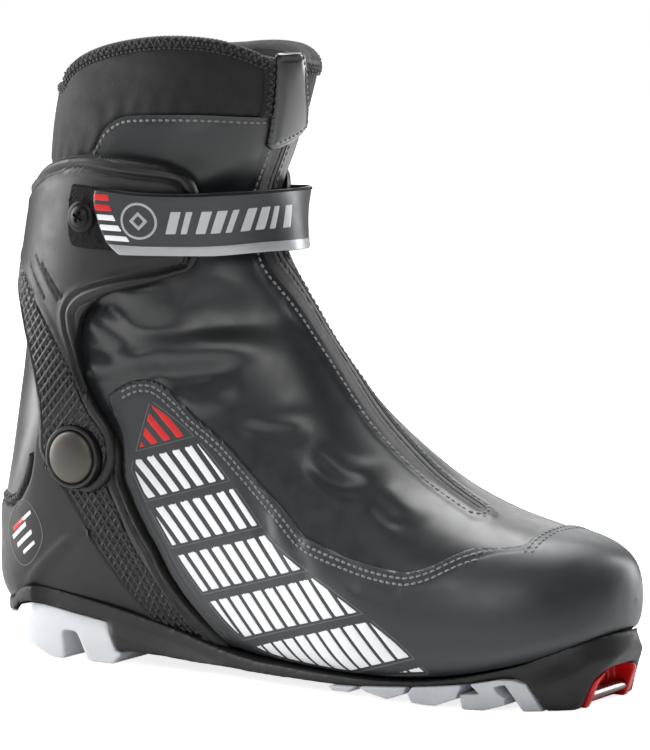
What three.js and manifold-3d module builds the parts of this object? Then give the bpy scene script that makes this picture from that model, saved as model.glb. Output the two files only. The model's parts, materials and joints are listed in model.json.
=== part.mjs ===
// Cross country skate boot, right foot.
// Millimetres, +X towards the toe, +Y towards the inner (medial) side, +Z up.
// The upper is one lofted surface (u, v). u counts the stations from the toe tip over the foot and
// up the shaft to the collar. v runs round a station: 0 at the sole or heel line, 1 at the instep
// line, 0..1 on the outer side and 1..2 on the inner side.
// Every layer is a shell between two offsets of that surface, cut to its side-view outline.
import * as THREE from "three";
import { mergeVertices } from "three/addons/utils/BufferGeometryUtils.js";
import Module from "manifold-3d";

const wasm = await Module();
wasm.setup();

// ---------- driving dimensions ----------
const ORIGIN = [149.6016, -0.4779, 0]; // point of the layout frame that becomes the part's origin
const PIVOT = [59.3, 88]; // cuff pivot axis, x and z
// flex gap between foot and shaft: rays in degrees about the pivot
const GAP = { lowerFront: 30, upperFront: 46.5, lowerBack: 158, upperBack: 151 };
const PIVOT_LOWER_RADIUS = 26;
const PIVOT_UPPER_RADIUS = 29.5; // the upper layers stay outside the pivot boss
const COUNTER_EAR_RADIUS = 24.5; // heel counter boss round the pivot
const RIVET_HOLE_RADIUS = 4;
// inner and outer offset of each layer from the lofted surface, outwards positive
const OFFSETS = {
  softshell: [-1.5, 0], overlay: [0.45, 1.35], counter: [0.45, 3.3], lining: [0.45, 3.8],
  cuff: [4.25, 6.8], loop: [7.1, 7.7], anchor: [7.1, 8.9], strap: [8.35, 9.7],
  collar: [-2.6, 0], binding: [-3.3, 0.75], flap: [1.25, 2.55],
  inner: [-9.2, -6.7], liner: [-9.2, -3.6], tongue: [-6.1, -5.6], eyestay: [-5.2, -4.8],
  laces: [-4.2, -3.6], puff: [-4.6, -1.9], board: [-5.1, -4.1], shank: [-6.3, -5.5],
  footbed: [-13.6, -11.8], tape: [0.75, 1.25], coil: [1.55, 2.2], backing: [-5.2, -1.95],
};

// ---------- lofted surface ----------
// back/bottom x z, front/top x z, outer and inner half width, share of the height at the widest
// point, superellipse exponents below and above it, y of the bottom and top points
const STATIONS = [
  [297.0, 41.0, 297.0, 41.8, 0.5, 0.5, 0.5, 2.0, 2.0, 8, 8],
  [296.0, 31.0, 296.0, 50.0, 8.0, 7.0, 0.47, 2.3, 2.2, 7, 8],
  [293.0, 27.5, 293.0, 56.0, 17.0, 13.5, 0.36, 2.6, 2.3, 6, 8],
  [286.0, 24.0, 286.0, 60.5, 27.0, 25.0, 0.26, 3.2, 2.4, 5, 7],
  [275.0, 19.6, 275.0, 64.5, 36.5, 36.0, 0.25, 4.0, 2.4, 4, 6],
  [258.0, 14.4, 258.0, 68.5, 43.5, 42.5, 0.28, 4.8, 2.35, 2, 5],
  [236.0, 10.2, 237.0, 74.5, 47.5, 45.5, 0.297, 5.2, 2.25, 1, 4],
  [212.0, 8.0, 215.0, 85.0, 49.0, 45.5, 0.29, 5.2, 2.1, 0, 3],
  [188.0, 7.9, 195.0, 100.0, 47.5, 42.0, 0.26, 5.0, 2.0, -0.5, 2],
  [162.0, 8.0, 177.0, 117.0, 43.5, 37.0, 0.25, 4.6, 1.95, -0.5, 1],
  [134.0, 9.0, 162.0, 135.5, 39.0, 33.5, 0.27, 4.0, 1.95, -0.5, 0],
  [104.0, 10.0, 150.0, 152.0, 35.5, 32.5, 0.33, 3.4, 2.0, -0.5, 0],
  [70.0, 11.0, 141.0, 166.0, 34.0, 33.0, 0.4, 3.0, 2.05, 0, 0],
  [36.0, 12.0, 134.0, 178.0, 35.0, 34.5, 0.46, 2.9, 2.1, 0, 0],
  [8.0, 20.0, 129.5, 188.0, 36.5, 36.0, 0.5, 2.8, 2.1, 0, 0],
  [0.5, 48.0, 128.0, 196.0, 38.0, 37.5, 0.5, 2.5, 2.15, 0, 0],
  [5.0, 80.0, 129.0, 204.0, 39.0, 38.5, 0.5, 2.3, 2.2, 0, 0],
  [10.0, 112.0, 132.0, 212.0, 39.5, 39.0, 0.5, 2.2, 2.2, 0, 0],
  [14.0, 146.0, 136.0, 220.0, 40.0, 39.5, 0.5, 2.15, 2.2, 0, 0],
  [19.0, 180.0, 140.0, 230.0, 40.5, 40.0, 0.5, 2.1, 2.2, 0, 0],
  [26.0, 212.0, 144.0, 242.0, 41.0, 40.5, 0.5, 2.1, 2.2, 0, 0],
  [30.0, 240.0, 147.0, 255.0, 41.5, 41.0, 0.5, 2.1, 2.2, 0, 0],
  [31.0, 264.0, 148.0, 268.0, 41.5, 41.5, 0.5, 2.1, 2.2, 0, 0],
];
const LAST_STATION = STATIONS.length - 1;
const PROFILE_STEPS = 160; // even, so that the widest point is a sample

// station values at u, by Catmull-Rom between the table rows
function stationAt(u) {
  u = Math.min(Math.max(u, 0), LAST_STATION);
  const i = Math.min(Math.floor(u), LAST_STATION - 1);
  const t = u - i;
  return STATIONS[i].map((p1, k) => {
    const p2 = STATIONS[i + 1][k];
    const p0 = i > 0 ? STATIONS[i - 1][k] : 2 * p1 - p2;
    const p3 = i < LAST_STATION - 1 ? STATIONS[i + 2][k] : 2 * p2 - p1;
    const cubic = 3 * (p1 - p2) + p3 - p0;
    return p1 + 0.5 * t * (p2 - p0 + t * (2 * p0 - 5 * p1 + 4 * p2 - p3 + t * cubic));
  });
}

// one side of a station from bottom to top, with running length; side is -1 outer, 1 inner
const profileCache = new Map();
function halfProfile(u, side) {
  const key = u.toFixed(5) + side;
  if (profileCache.has(key)) return profileCache.get(key);
  const [backX, backZ, frontX, frontZ, outerHalf, innerHalf, widest, lowExp, highExp, backY, frontY]
    = stationAt(u);
  const halfWidth = side < 0 ? outerHalf : innerHalf;
  const points = [];
  const lengths = [0];
  for (let i = 0; i <= PROFILE_STEPS; i++) {
    const angle = (Math.PI * i) / PROFILE_STEPS;
    const cos = Math.abs(Math.cos(angle));
    const sin = Math.abs(Math.sin(angle));
    const isLow = i <= PROFILE_STEPS / 2;
    const rise = isLow
      ? widest - widest * Math.pow(cos, 2 / lowExp)
      : widest + (1 - widest) * Math.pow(cos, 2 / highExp);
    const width = Math.pow(sin, 2 / (isLow ? lowExp : highExp)) * halfWidth;
    const point = [
      backX + (frontX - backX) * rise,
      side * width + backY + (frontY - backY) * rise,
      backZ + (frontZ - backZ) * rise,
    ];
    if (i) {
      const last = points[i - 1];
      const step = Math.hypot(point[0] - last[0], point[1] - last[1], point[2] - last[2]);
      lengths.push(lengths[i - 1] + step);
    }
    points.push(point);
  }
  const profile = { points, lengths };
  profileCache.set(key, profile);
  return profile;
}

// point on the lofted surface; v is spread by arc length below and above the widest point
function basePoint(u, v) {
  v = ((v % 2) + 2) % 2;
  const { points, lengths } = halfProfile(u, v <= 1 ? -1 : 1);
  const t = v <= 1 ? v : 2 - v;
  const middle = lengths[PROFILE_STEPS / 2];
  const distance = t <= 0.5
    ? (t / 0.5) * middle
    : middle + ((t - 0.5) / 0.5) * (lengths[PROFILE_STEPS] - middle);
  let low = 0;
  let high = PROFILE_STEPS;
  while (high - low > 1) {
    const mid = (low + high) >> 1;
    if (lengths[mid] <= distance) low = mid;
    else high = mid;
  }
  const f = (distance - lengths[low]) / Math.max(lengths[high] - lengths[low], 1e-9);
  return points[low].map((p, k) => p + (points[high][k] - p) * f);
}

// point at an offset along the outward normal, which comes from central differences
const U_STEP = 0.04;
const V_STEP = 0.012;
const difference = (a, b) => new THREE.Vector3(...a).sub(new THREE.Vector3(...b));
function offsetPoint(u, v, offset) {
  const [x, y, z] = basePoint(u, v);
  const uNext = basePoint(Math.min(u + U_STEP, LAST_STATION), v);
  const alongU = difference(uNext, basePoint(Math.max(u - U_STEP, 0), v));
  const alongV = difference(basePoint(u, v + V_STEP), basePoint(u, v - V_STEP));
  const normal = alongV.cross(alongU).normalize();
  return [x + normal.x * offset, y + normal.y * offset, z + normal.z * offset];
}

// ---------- solids ----------
function solid(geometry) {
  const loose = geometry.index ? geometry.toNonIndexed() : geometry.clone();
  loose.deleteAttribute("normal");
  loose.deleteAttribute("uv");
  const merged = mergeVertices(loose, 1e-4);
  return new wasm.Manifold(new wasm.Mesh({
    numProp: 3,
    vertProperties: new Float32Array(merged.attributes.position.array),
    triVerts: new Uint32Array(merged.index.array),
  }));
}

// solid from an indexed geometry, turned right side out if need be
function outwardSolid(geometry) {
  const body = solid(geometry);
  if (body.volume() >= 0) return body;
  const index = Array.from(geometry.index.array);
  for (let i = 0; i < index.length; i += 3) {
    [index[i + 1], index[i + 2]] = [index[i + 2], index[i + 1]];
  }
  geometry.setIndex(index);
  return solid(geometry);
}

function solidFromFaces(points, faces) {
  const geometry = new THREE.BufferGeometry();
  geometry.setAttribute("position", new THREE.Float32BufferAttribute(points.flat(), 3));
  geometry.setIndex(faces.flat());
  return outwardSolid(geometry);
}

// two triangles split along a-c, or along b-d
const quad = (a, b, c, d, splitBD = false) =>
  splitBD ? [[b, c, d], [b, d, a]] : [[a, b, c], [a, c, d]];
const centroid = (points) =>
  [0, 1, 2].map((k) => points.reduce((sum, p) => sum + p[k] / points.length, 0));

// closed shell of the whole boot between two offsets, closed at the toe and open at the collar;
// inner null gives the full body
const ROWS = [
  0, 0.8, 2, 3, 4, 5, 6, 7, 8, 9, 10, 11, 12, 13, 13.6, 14.3, 15, 16, 17.5, 19, 20.5, 22,
];
const COLUMNS = 20;
const INNER_COLUMNS = 16; // for the foam layers
function shell(inner, outer, rows = ROWS, columns = COLUMNS) {
  const points = [];
  const faces = [];
  const next = (j) => (j + 1) % columns;
  // adds one layer and returns the index of its last row
  const addLayer = (offset, inward) => {
    const start = points.length;
    for (const u of rows) {
      for (let j = 0; j < columns; j++) points.push(offsetPoint(u, (2 * j) / columns, offset));
    }
    for (let i = 0; i < rows.length - 1; i++) {
      for (let j = 0; j < columns; j++) {
        const a = start + i * columns + j;
        const b = start + i * columns + next(j);
        const c = b + columns;
        const d = a + columns;
        faces.push(...(inward ? quad(a, d, c, b) : quad(a, b, c, d)));
      }
    }
    const tip = points.length;
    points.push(centroid(points.slice(start, start + columns)));
    for (let j = 0; j < columns; j++) {
      const a = start + j;
      const b = start + next(j);
      faces.push(inward ? [tip, a, b] : [tip, b, a]);
    }
    return start + (rows.length - 1) * columns;
  };
  const outerEnd = addLayer(outer, false);
  if (inner === null) {
    const lid = points.length;
    points.push(centroid(points.slice(outerEnd, outerEnd + columns)));
    for (let j = 0; j < columns; j++) faces.push([outerEnd + j, outerEnd + next(j), lid]);
  } else {
    const innerEnd = addLayer(inner, true);
    for (let j = 0; j < columns; j++) {
      faces.push(...quad(outerEnd + j, outerEnd + next(j), innerEnd + next(j), innerEnd + j));
    }
  }
  return solidFromFaces(points, faces);
}

// closed sheet over a grid of rowSteps by colSteps; pointAt(row, column, offset) gives its points.
// splitBD picks the other diagonal in the first-column and last-row walls
function sheet(rowSteps, colSteps, [inner, outer], pointAt, splitBD = false) {
  const points = [];
  const faces = [];
  for (const offset of [outer, inner]) {
    for (let i = 0; i <= rowSteps; i++) {
      for (let j = 0; j <= colSteps; j++) points.push(pointAt(i, j, offset));
    }
  }
  const out = (i, j) => i * (colSteps + 1) + j;
  const inn = (i, j) => points.length / 2 + out(i, j);
  for (let i = 0; i < rowSteps; i++) {
    for (let j = 0; j < colSteps; j++) {
      faces.push(...quad(out(i, j), out(i, j + 1), out(i + 1, j + 1), out(i + 1, j)));
      faces.push(...quad(inn(i, j), inn(i + 1, j), inn(i + 1, j + 1), inn(i, j + 1)));
    }
  }
  for (let i = 0; i < rowSteps; i++) {
    const n = colSteps;
    faces.push(...quad(inn(i, 0), out(i, 0), out(i + 1, 0), inn(i + 1, 0), splitBD));
    faces.push(...quad(out(i, n), inn(i, n), inn(i + 1, n), out(i + 1, n)));
  }
  for (let j = 0; j < colSteps; j++) {
    const n = rowSteps;
    faces.push(...quad(out(0, j), inn(0, j), inn(0, j + 1), out(0, j + 1)));
    faces.push(...quad(inn(n, j), out(n, j), out(n, j + 1), inn(n, j + 1), splitBD));
  }
  return solidFromFaces(points, faces);
}

// sheet over the stations us, between vStart(u) and vEnd(u)
const patch = (us, vStart, vEnd, offsets, steps) =>
  sheet(us.length - 1, steps, offsets, (i, j, offset) => {
    const v = vStart(us[i]) + ((vEnd(us[i]) - vStart(us[i])) * j) / steps;
    return offsetPoint(us[i], v, offset);
  });
const band = (us, v0, v1, offsets, steps) => patch(us, () => v0, () => v1, offsets, steps);
function range(start, end, step) {
  const values = [];
  for (let u = start; u < end - 1e-9; u += step) values.push(u);
  return [...values, end];
}

// prisms from an outline in side view [x, z], front view [y, z] or plan [x, y]
function extrude(outline, depth, xAxis, yAxis, zAxis, origin) {
  const shape = new THREE.Shape(outline.map(([a, b]) => new THREE.Vector2(a, b)));
  const geometry = new THREE.ExtrudeGeometry(shape, { depth, bevelEnabled: false, steps: 1 });
  const axes = [xAxis, yAxis, zAxis].map((axis) => new THREE.Vector3(...axis));
  geometry.applyMatrix4(new THREE.Matrix4().makeBasis(...axes).setPosition(...origin));
  return solid(geometry);
}
const HALF_REACH = 85; // half width of side-view prisms, wider than the boot
const sideXZ = (outline, y0 = -HALF_REACH, y1 = HALF_REACH) =>
  extrude(outline, y1 - y0, [1, 0, 0], [0, 0, 1], [0, -1, 0], [0, y1, 0]);
const frontYZ = (outline, x0, x1) =>
  extrude(outline, x1 - x0, [0, 1, 0], [0, 0, 1], [1, 0, 0], [x0, 0, 0]);
const planXY = (outline, z0, z1) =>
  extrude(outline, z1 - z0, [1, 0, 0], [0, 1, 0], [0, 0, 1], [0, 0, z0]);
const rect = (a0, b0, a1, b1) => [[a0, b0], [a1, b0], [a1, b1], [a0, b1]];

// cylinder along Y
function cylinder(radius, [x, z], y0, y1, segments) {
  const geometry = new THREE.CylinderGeometry(radius, radius, y1 - y0, segments);
  geometry.translate(x, (y0 + y1) / 2, z);
  return solid(geometry);
}
// solid of revolution about a Y axis, profile of [radius, y]
function turned(profile, [x, z], segments) {
  const points = profile.map(([r, y]) => new THREE.Vector2(r, y));
  const geometry = new THREE.LatheGeometry(points, segments);
  geometry.translate(x, 0, z);
  return outwardSolid(geometry);
}

function interpolate(table, x) {
  const i = table.findIndex((entry, k) => k > 0 && x <= entry[0]);
  const [a, b] = [table[i - 1], table[i]];
  return a[1] + ((b[1] - a[1]) * (x - a[0])) / (b[0] - a[0]);
}
const lift = (line, dz) => line.map(([x, z]) => [x, z + dz]);
const between = (low, high) => sideXZ([...low, ...[...high].reverse()]);

// ---------- regions either side of the flex gap ----------
const CUTTER_REACH = 90;
function polar(degrees, radius) {
  const angle = (degrees * Math.PI) / 180;
  return [PIVOT[0] + radius * Math.cos(angle), PIVOT[1] + radius * Math.sin(angle)];
}
function wedge(start, end) {
  const arc = [];
  for (let i = 0; i <= 6; i++) arc.push(polar(start + ((end - start) * i) / 6, 420));
  return sideXZ([PIVOT, ...arc], -CUTTER_REACH, CUTTER_REACH);
}
const hub = (radius) => cylinder(radius, PIVOT, -CUTTER_REACH, CUTTER_REACH, 36);
const LOWER = sideXZ(rect(-60, -20, 360, 330))
  .subtract(wedge(GAP.lowerFront, GAP.lowerBack))
  .add(hub(PIVOT_LOWER_RADIUS));
const UPPER = wedge(GAP.upperFront, GAP.upperBack).subtract(hub(PIVOT_UPPER_RADIUS));
// instep in front of the pivot and below the gap
const INSTEP = sideXZ([
  polar(-20, 60), polar(-20, 300), polar(GAP.lowerFront - 1, 300), polar(GAP.lowerFront - 1, 60),
]);

// ---------- outlines, [x, z] in side view unless noted ----------
const SOLE_TOP = [
  [-8, 19], [8, 20], [16, 22], [21, 27], [29.5, 29.5], [46, 27.7], [67, 24.3], [87.5, 20.3],
  [109, 15.7], [120, 13.1], [142, 9.6], [163.5, 8.7], [184.5, 8.2], [204, 8.2], [222, 8.9],
  [239, 10.8], [255, 14], [270, 17.9], [279, 21.8], [288, 25.7], [296, 28.7], [306, 30],
];
const SOLE_LOW = [
  [-8, 17.6], [17, 17.6], [20.5, 21.3], [29, 22.9], [35, 22.2], [67.7, 17.4], [70.4, 15.1],
  [74.4, 6.1], [98, 5.9], [113, 5.1], [141, 4.2], [185, 4.3], [200, 4.8], [213, 5.4],
  [227, 6.5], [238, 7.8], [251.5, 10], [264.5, 12.6], [271.6, 11.1], [277.9, 0.2],
];
const SOLE_TOE = [
  [278.4, 0], [287.2, 0], [291.2, 9], [294.4, 15], [297.6, 19], [301, 23.5], [304, 30],
];
// plan of the sole [x, y] from heel to toe, outer and inner side
const SOLE_OUTER = [
  [3.5, 0], [5.8, -12], [10.5, -20.5], [18, -27], [29, -32], [45, -34.6], [70, -35], [100, -36],
  [130, -40], [160, -45.5], [185, -49], [210, -50], [235, -48], [255, -43.5], [270, -37],
  [282, -28], [292, -17.5], [299, -7], [302, 4],
];
const SOLE_INNER = [
  [5.8, 11.5], [10.5, 20], [18, 26.5], [29, 31.5], [45, 33.8], [70, 33.5], [100, 31.5],
  [130, 33.5], [160, 40], [185, 45], [210, 47.5], [235, 46.5], [255, 43], [270, 37.5],
  [282, 30], [292, 21], [299, 12],
];
// front edge of the heel counter, from the pivot down
const COUNTER_EDGE = [
  [77.9, 101], [78.8, 91.7], [78.8, 83], [79.7, 77.8], [81.5, 74], [85.2, 66], [90.5, 57],
  [95.1, 51], [100.7, 42], [108.9, 32.5], [119.6, 22.5], [127.9, 14.6], [134, 7],
];
const EAR_ARC = [];
for (let degrees = 176; degrees >= 57; degrees -= 17) {
  EAR_ARC.push(polar(degrees, COUNTER_EAR_RADIUS));
}
const COUNTER = [
  [-20, 10], [-20, 64.3], [17.4, 64.3], [23.5, 65.4], [27.9, 69.6], [32, 75.4],
  ...EAR_ARC, ...COUNTER_EDGE, [134, 0], [-20, 0],
];
const OVERLAY = [
  [72, 113.4], [76.9, 117.1], [83, 120.3], [89, 121.6], [95, 121], [100.7, 117.9],
  [106.5, 113.3], [113.3, 107.4], [122.2, 101.6], [131.4, 95.2], [141, 87.2], [150.9, 79.3],
  [160.8, 72.1], [166.9, 66.9], [170.9, 63.7], [176.6, 61.3], [185.9, 58.6], [194.9, 56.2],
  [206.7, 53.7], [219.2, 52.4], [224.9, 53.1], [231.3, 55.5], [236.9, 58.7], [242.6, 61.5],
  [250.1, 64], [257.7, 66.6], [264.5, 68.2], [266, 90], [330, 90], [330, 0],
  ...[...COUNTER_EDGE].reverse().map(([x, z]) => [x + 0.8, z]), // gap to the counter
  [74.6, 108.5], [70, 112],
];
const CUFF = [
  [-20, 188], [15, 190.5], [25.9, 195.3], [31, 199.5], [37.9, 203.5], [45.2, 208.8],
  [52.5, 212.1], [62.2, 213.9], [71.3, 214.6], [83.8, 214.3], [94.7, 213.3], [103.3, 211.8],
  [108.9, 209.9], [112.5, 207], [114, 203.7], [114.4, 197], [113.3, 184.6], [112.1, 176.3],
  [110.8, 171], [107.7, 167.1], [100.6, 164.6], [92.8, 162.4], [84.1, 159.7], [74.7, 156],
  [68.7, 152], [63.6, 145.8], [61.6, 137], [62.9, 124.5], [66.3, 115.9], [70.4, 108.8],
  [73.5, 104.7], [76.7, 99.5], [77.9, 92.3], [77.5, 86], [74.9, 80], [70.2, 75.3], [65, 73],
  [59.9, 74], [54.8, 75.6], [49.2, 79.2], [43.5, 84.7], [41, 91], [41.4, 100], [41, 110.9],
  [38.1, 123.3], [33, 136], [27.5, 148], [21, 157], [12, 162], [-20, 163.5],
];
const LINING = [
  [-20, 187], [15, 189.5], [26, 194], [38, 202.3], [52.5, 210.8], [71.3, 213.3], [94.7, 212],
  [108, 208.5], [112.8, 202.5], [112.4, 185], [110, 172.3], [100.6, 166], [84, 161], [70, 155],
  [61.5, 147.5], [58, 137], [56, 122], [45, 124], [40, 133], [32, 147], [22, 160], [12, 165],
  [-20, 166],
];
const COLLAR_LOW = [
  [-20, 206], [45, 210], [60, 212.8], [68, 216.5], [70.1, 219.6], [74.5, 225.5], [82.1, 230],
  [91.5, 231.4], [116.9, 231.8], [132.6, 230.9], [139.8, 230.7], [175, 231.5],
];
const RIM = [
  [-20, 243], [31, 243.5], [44.8, 244.6], [47.2, 248.1], [57.9, 254.4], [73.1, 259.4],
  [91.7, 262.7], [108.2, 263.8], [122.7, 262.9], [131.1, 260.9], [137.7, 258], [141.5, 255.5],
  [150, 253.5], [175, 252],
];
const SHAFT_BASE = [[-20, 60], [175, 60]];

// ---------- materials and pieces ----------
const FINISHES = {
  rubber: { color: 0x1b1b1d, roughness: 0.62 },
  white: { color: 0xdfe1e4, roughness: 0.45 },
  red: { color: 0xc8202a, roughness: 0.4 },
  steel: { color: 0xb9bcc0, roughness: 0.25, metalness: 1 },
  gunmetal: { color: 0x6d6a68, roughness: 0.38, metalness: 0.85 },
  shell: { color: 0x32322f, roughness: 0.6 },
  soft: { color: 0x3a3c40, roughness: 0.42 },
  overlay: { color: 0x3f4145, roughness: 0.4 },
  neoprene: { color: 0x1e1f21, roughness: 0.9 },
  foam: { color: 0x2a2a2c, roughness: 0.95 },
  board: { color: 0x8d8577, roughness: 0.8 },
  textile: { color: 0x232325, roughness: 0.9 },
  strap: { color: 0x37393c, roughness: 0.5 },
};
const boot = new THREE.Group();
boot.position.set(-ORIGIN[0], -ORIGIN[1], -ORIGIN[2]);

// adds the largest connected part of the body
function add(name, body, finish) {
  const [largest] = body.decompose().sort((a, b) => b.volume() - a.volume());
  const { vertProperties, triVerts } = largest.getMesh();
  const geometry = new THREE.BufferGeometry();
  const positions = new Float32Array(vertProperties);
  geometry.setAttribute("position", new THREE.BufferAttribute(positions, 3));
  geometry.setIndex(new THREE.BufferAttribute(new Uint32Array(triVerts), 1));
  const material = new THREE.MeshStandardMaterial({ ...FINISHES[finish], flatShading: true });
  const mesh = new THREE.Mesh(geometry, material);
  mesh.name = name;
  boot.add(mesh);
}

// ---------- sole unit ----------
const SOLE_BODY = shell(null, OFFSETS.overlay[0]);
const ABOVE_SOLE = sideXZ([
  ...lift([[-60, 19], ...SOLE_TOP, [330, 30]], 0.4), [330, 200], [-60, 200],
]);
const LUG_GAP = 0.35; // below the outsole
const TOE_Y = 1; // middle of the toe insert and bar
const INSERT = { halfWidth: 18, height: 19.5, back: 279.8, gap: 0.4 };
const TOE_BAR = { radius: 2, axis: [287.8, 4.6], halfLength: 17.4, gap: 0.3, endGap: 0.7 };
const TOE_FACE = [[288.3, 0], [290, 3], [292, 8.5], [294.6, 14.2], [296.4, 18.6]];

// plan outline of the sole moved inwards
function footprint(inset) {
  const outline = [...SOLE_OUTER, ...[...SOLE_INNER].reverse()];
  const count = outline.length;
  return outline.map(([x, y], i) => {
    const before = outline[(i + count - 1) % count];
    const after = outline[(i + 1) % count];
    const [dx, dy] = [after[0] - before[0], after[1] - before[1]];
    const length = Math.hypot(dx, dy);
    return [x - (dy / length) * inset, y + (dx / length) * inset];
  });
}
// front-view arch with a low crown, slightly drawn in above its shoulders
function arch(halfWidth, height, bottom) {
  const crown = 6;
  const outline = [[TOE_Y - halfWidth, bottom], [TOE_Y + halfWidth, bottom]];
  for (let i = 0; i <= 8; i++) {
    const angle = (Math.PI * i) / 8;
    const drawIn = i % 8 ? 0.98 : 1;
    const y = TOE_Y + halfWidth * Math.cos(angle) * drawIn;
    outline.push([y, height - crown + crown * Math.sin(angle)]);
  }
  return outline;
}

function outsole() {
  const { halfWidth, height, back, gap } = INSERT;
  const profile = [...SOLE_LOW, ...SOLE_TOE, ...[...SOLE_TOP].reverse().slice(1)];
  let body = planXY(footprint(0), -1, 31)
    .intersect(sideXZ(profile, -70, 70))
    .subtract(SOLE_BODY)
    .subtract(frontYZ(arch(halfWidth + gap, height + gap, -3), back - gap, 320));
  // two lengthwise grooves
  for (const y of [-13, 7]) body = body.subtract(planXY(rect(104, y, 236, y + 6), -2, 5.3));
  return body;
}
add("outsole", outsole(), "rubber");

function toeInsert() {
  const { halfWidth, height, back } = INSERT;
  const { radius, axis, halfLength, gap, endGap } = TOE_BAR;
  const reach = halfLength + endGap;
  return frontYZ(arch(halfWidth, height, 0), back, 305)
    .intersect(sideXZ([[back, 0], ...TOE_FACE, [296.4, 22], [back, 22]], -30, 30))
    .subtract(frontYZ(arch(14.6, 15.2, -2), 284, 320)) // recess open to the front
    .subtract(SOLE_BODY)
    .subtract(cylinder(radius + gap, axis, TOE_Y - reach, TOE_Y + reach, 24));
}
add("toe_insert", toeInsert(), "red");
const [barStart, barEnd] = [TOE_Y - TOE_BAR.halfLength, TOE_Y + TOE_BAR.halfLength];
add("toe_bar", cylinder(TOE_BAR.radius, TOE_BAR.axis, barStart, barEnd, 28), "steel");

const HEEL_BLOCK = [
  [20.6, 9.4], [8.4, 15.6], [7.4, 16.6], [7.6, 17.2], [19.4, 17.2], [22.5, 20.8], [29.1, 22.4],
  [35, 21.8], [67.5, 17], [69.8, 14.8], [74, 5.6], [77, 5.2], [72.6, 0], [59.8, 0],
  [53.6, 11.7], [46.2, 12.4], [47.4, 0], [37.8, 0],
];
add("heel_lug_block", planXY(footprint(0.2), -2, 40)
  .intersect(sideXZ(HEEL_BLOCK, -70, 70))
  .subtract(SOLE_BODY)
  .subtract(planXY(rect(0, -5, 100, 6), -3, 8)), "white"); // channel along the middle

const LUGS = [
  [[188, 4], [190, 2.6], [198, 2.6], [201, 4.6]],
  [[202.5, 4.9], [206.2, 3.6], [215.8, 1.6], [222.8, 4], [224.4, 6.6], [213, 5.7]],
  [
    [226.9, 6.8], [224.9, 4.3], [226.9, 1], [236.5, 0.6], [245.5, 4], [245.8, 5.5],
    [247.6, 9.2], [238, 8],
  ],
  [
    [251, 9.8], [254.6, 6.4], [246.9, 5.9], [247.9, 0], [256.9, 0], [265.1, 2.3],
    [265.7, 5.7], [262, 12], [258, 11.2],
  ],
  [[263.4, 11.9], [263, 10.2], [269.9, 0], [277, 0], [271, 10.6], [266.5, 12]],
];
const UNDER_SOLE = sideXZ([
  [170, -10],
  ...SOLE_LOW.filter(([x]) => x > 180).map(([x, z]) => [x - 0.4, z - LUG_GAP]),
  [277.4, -10],
], -80, 80);
// lugs between y0 and y1, joined by a thin rib between rib0 and rib1
function forefootLugs(y0, y1, rib0, rib1) {
  const ribTop = [190, 200, 213, 227, 238, 251.5, 264, 268]
    .map((x) => [x, interpolate(SOLE_LOW, x) - LUG_GAP]);
  let body = sideXZ([...ribTop, ...lift(ribTop, -1.6).reverse()], rib0, rib1);
  for (const lug of LUGS) body = body.add(sideXZ(lug, y0, y1));
  return body.intersect(planXY(footprint(0.3), -2, 40)).intersect(UNDER_SOLE);
}
add("forefoot_lugs_lateral", forefootLugs(-70, -23, -31, -27), "white");
add("forefoot_lugs_medial", forefootLugs(22, 70, 26, 30), "white");

// ---------- foot base inside the upper ----------
add("lasting_board", band(range(4.5, 12.6, 0.6), -0.135, 0.135, OFFSETS.board, 4), "board");
add("shank", band(range(8.2, 12.6, 0.55), -0.07, 0.07, OFFSETS.shank, 2), "steel");
add("footbed", band(range(4.8, 12.4, 0.63), -0.115, 0.115, OFFSETS.footbed, 4), "textile");

// ---------- foot part of the upper ----------
const SOFTSHELL = shell(...OFFSETS.softshell);
const RIVET_HOLE = cylinder(RIVET_HOLE_RADIUS, PIVOT, -70, 70, 20);
const TOE_REGION = [[264, 27], [330, 27], [330, 90], [272, 90]];
add("vamp_softshell", SOFTSHELL.intersect(LOWER).subtract(RIVET_HOLE), "soft");
add("inner_boot", shell(...OFFSETS.inner, ROWS, INNER_COLUMNS).intersect(LOWER), "foam");
add("quarter_overlay", shell(...OFFSETS.overlay)
  .intersect(sideXZ(OVERLAY))
  .intersect(ABOVE_SOLE), "overlay");
add("toe_puff", shell(...OFFSETS.puff).intersect(sideXZ(TOE_REGION)), "board");
add("heel_counter", shell(...OFFSETS.counter)
  .intersect(sideXZ(COUNTER))
  .intersect(ABOVE_SOLE)
  .subtract(RIVET_HOLE), "shell");

const TONGUE_US = range(7.6, 10.6, 0.5);
const EYESTAY_US = range(7.8, 10.4, 0.52);
const eyestay = (v0, v1) => band(EYESTAY_US, v0, v1, OFFSETS.eyestay, 2).intersect(INSTEP);
add("tongue", band(TONGUE_US, 0.8, 1.2, OFFSETS.tongue, 6).intersect(INSTEP), "foam");
add("eyestay_lateral", eyestay(0.8, 0.9), "textile");
add("eyestay_medial", eyestay(1.1, 1.2), "textile");

// crossed lace runs between the two eyestays, joined at the eyelets
function laces() {
  const halfSpan = 0.145; // in v, either side of the instep line
  const halfWidth = 0.055; // in u
  const steps = 5;
  const eyelets = range(7.85, 10.3, 0.62);
  const runs = [];
  for (let i = 0; i < eyelets.length - 1; i++) {
    for (const side of [1, -1]) {
      const pointAt = (edge, k, offset) => {
        const t = k / steps;
        const u = eyelets[i] + (eyelets[i + 1] - eyelets[i]) * t + (edge ? 1 : -1) * halfWidth;
        return offsetPoint(u, 1 + side * (halfSpan - 2 * halfSpan * t), offset);
      };
      runs.push(sheet(1, steps, OFFSETS.laces, pointAt, true));
    }
  }
  return runs.reduce((sum, run) => sum.add(run)).intersect(INSTEP);
}
add("laces", laces(), "textile");

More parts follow.
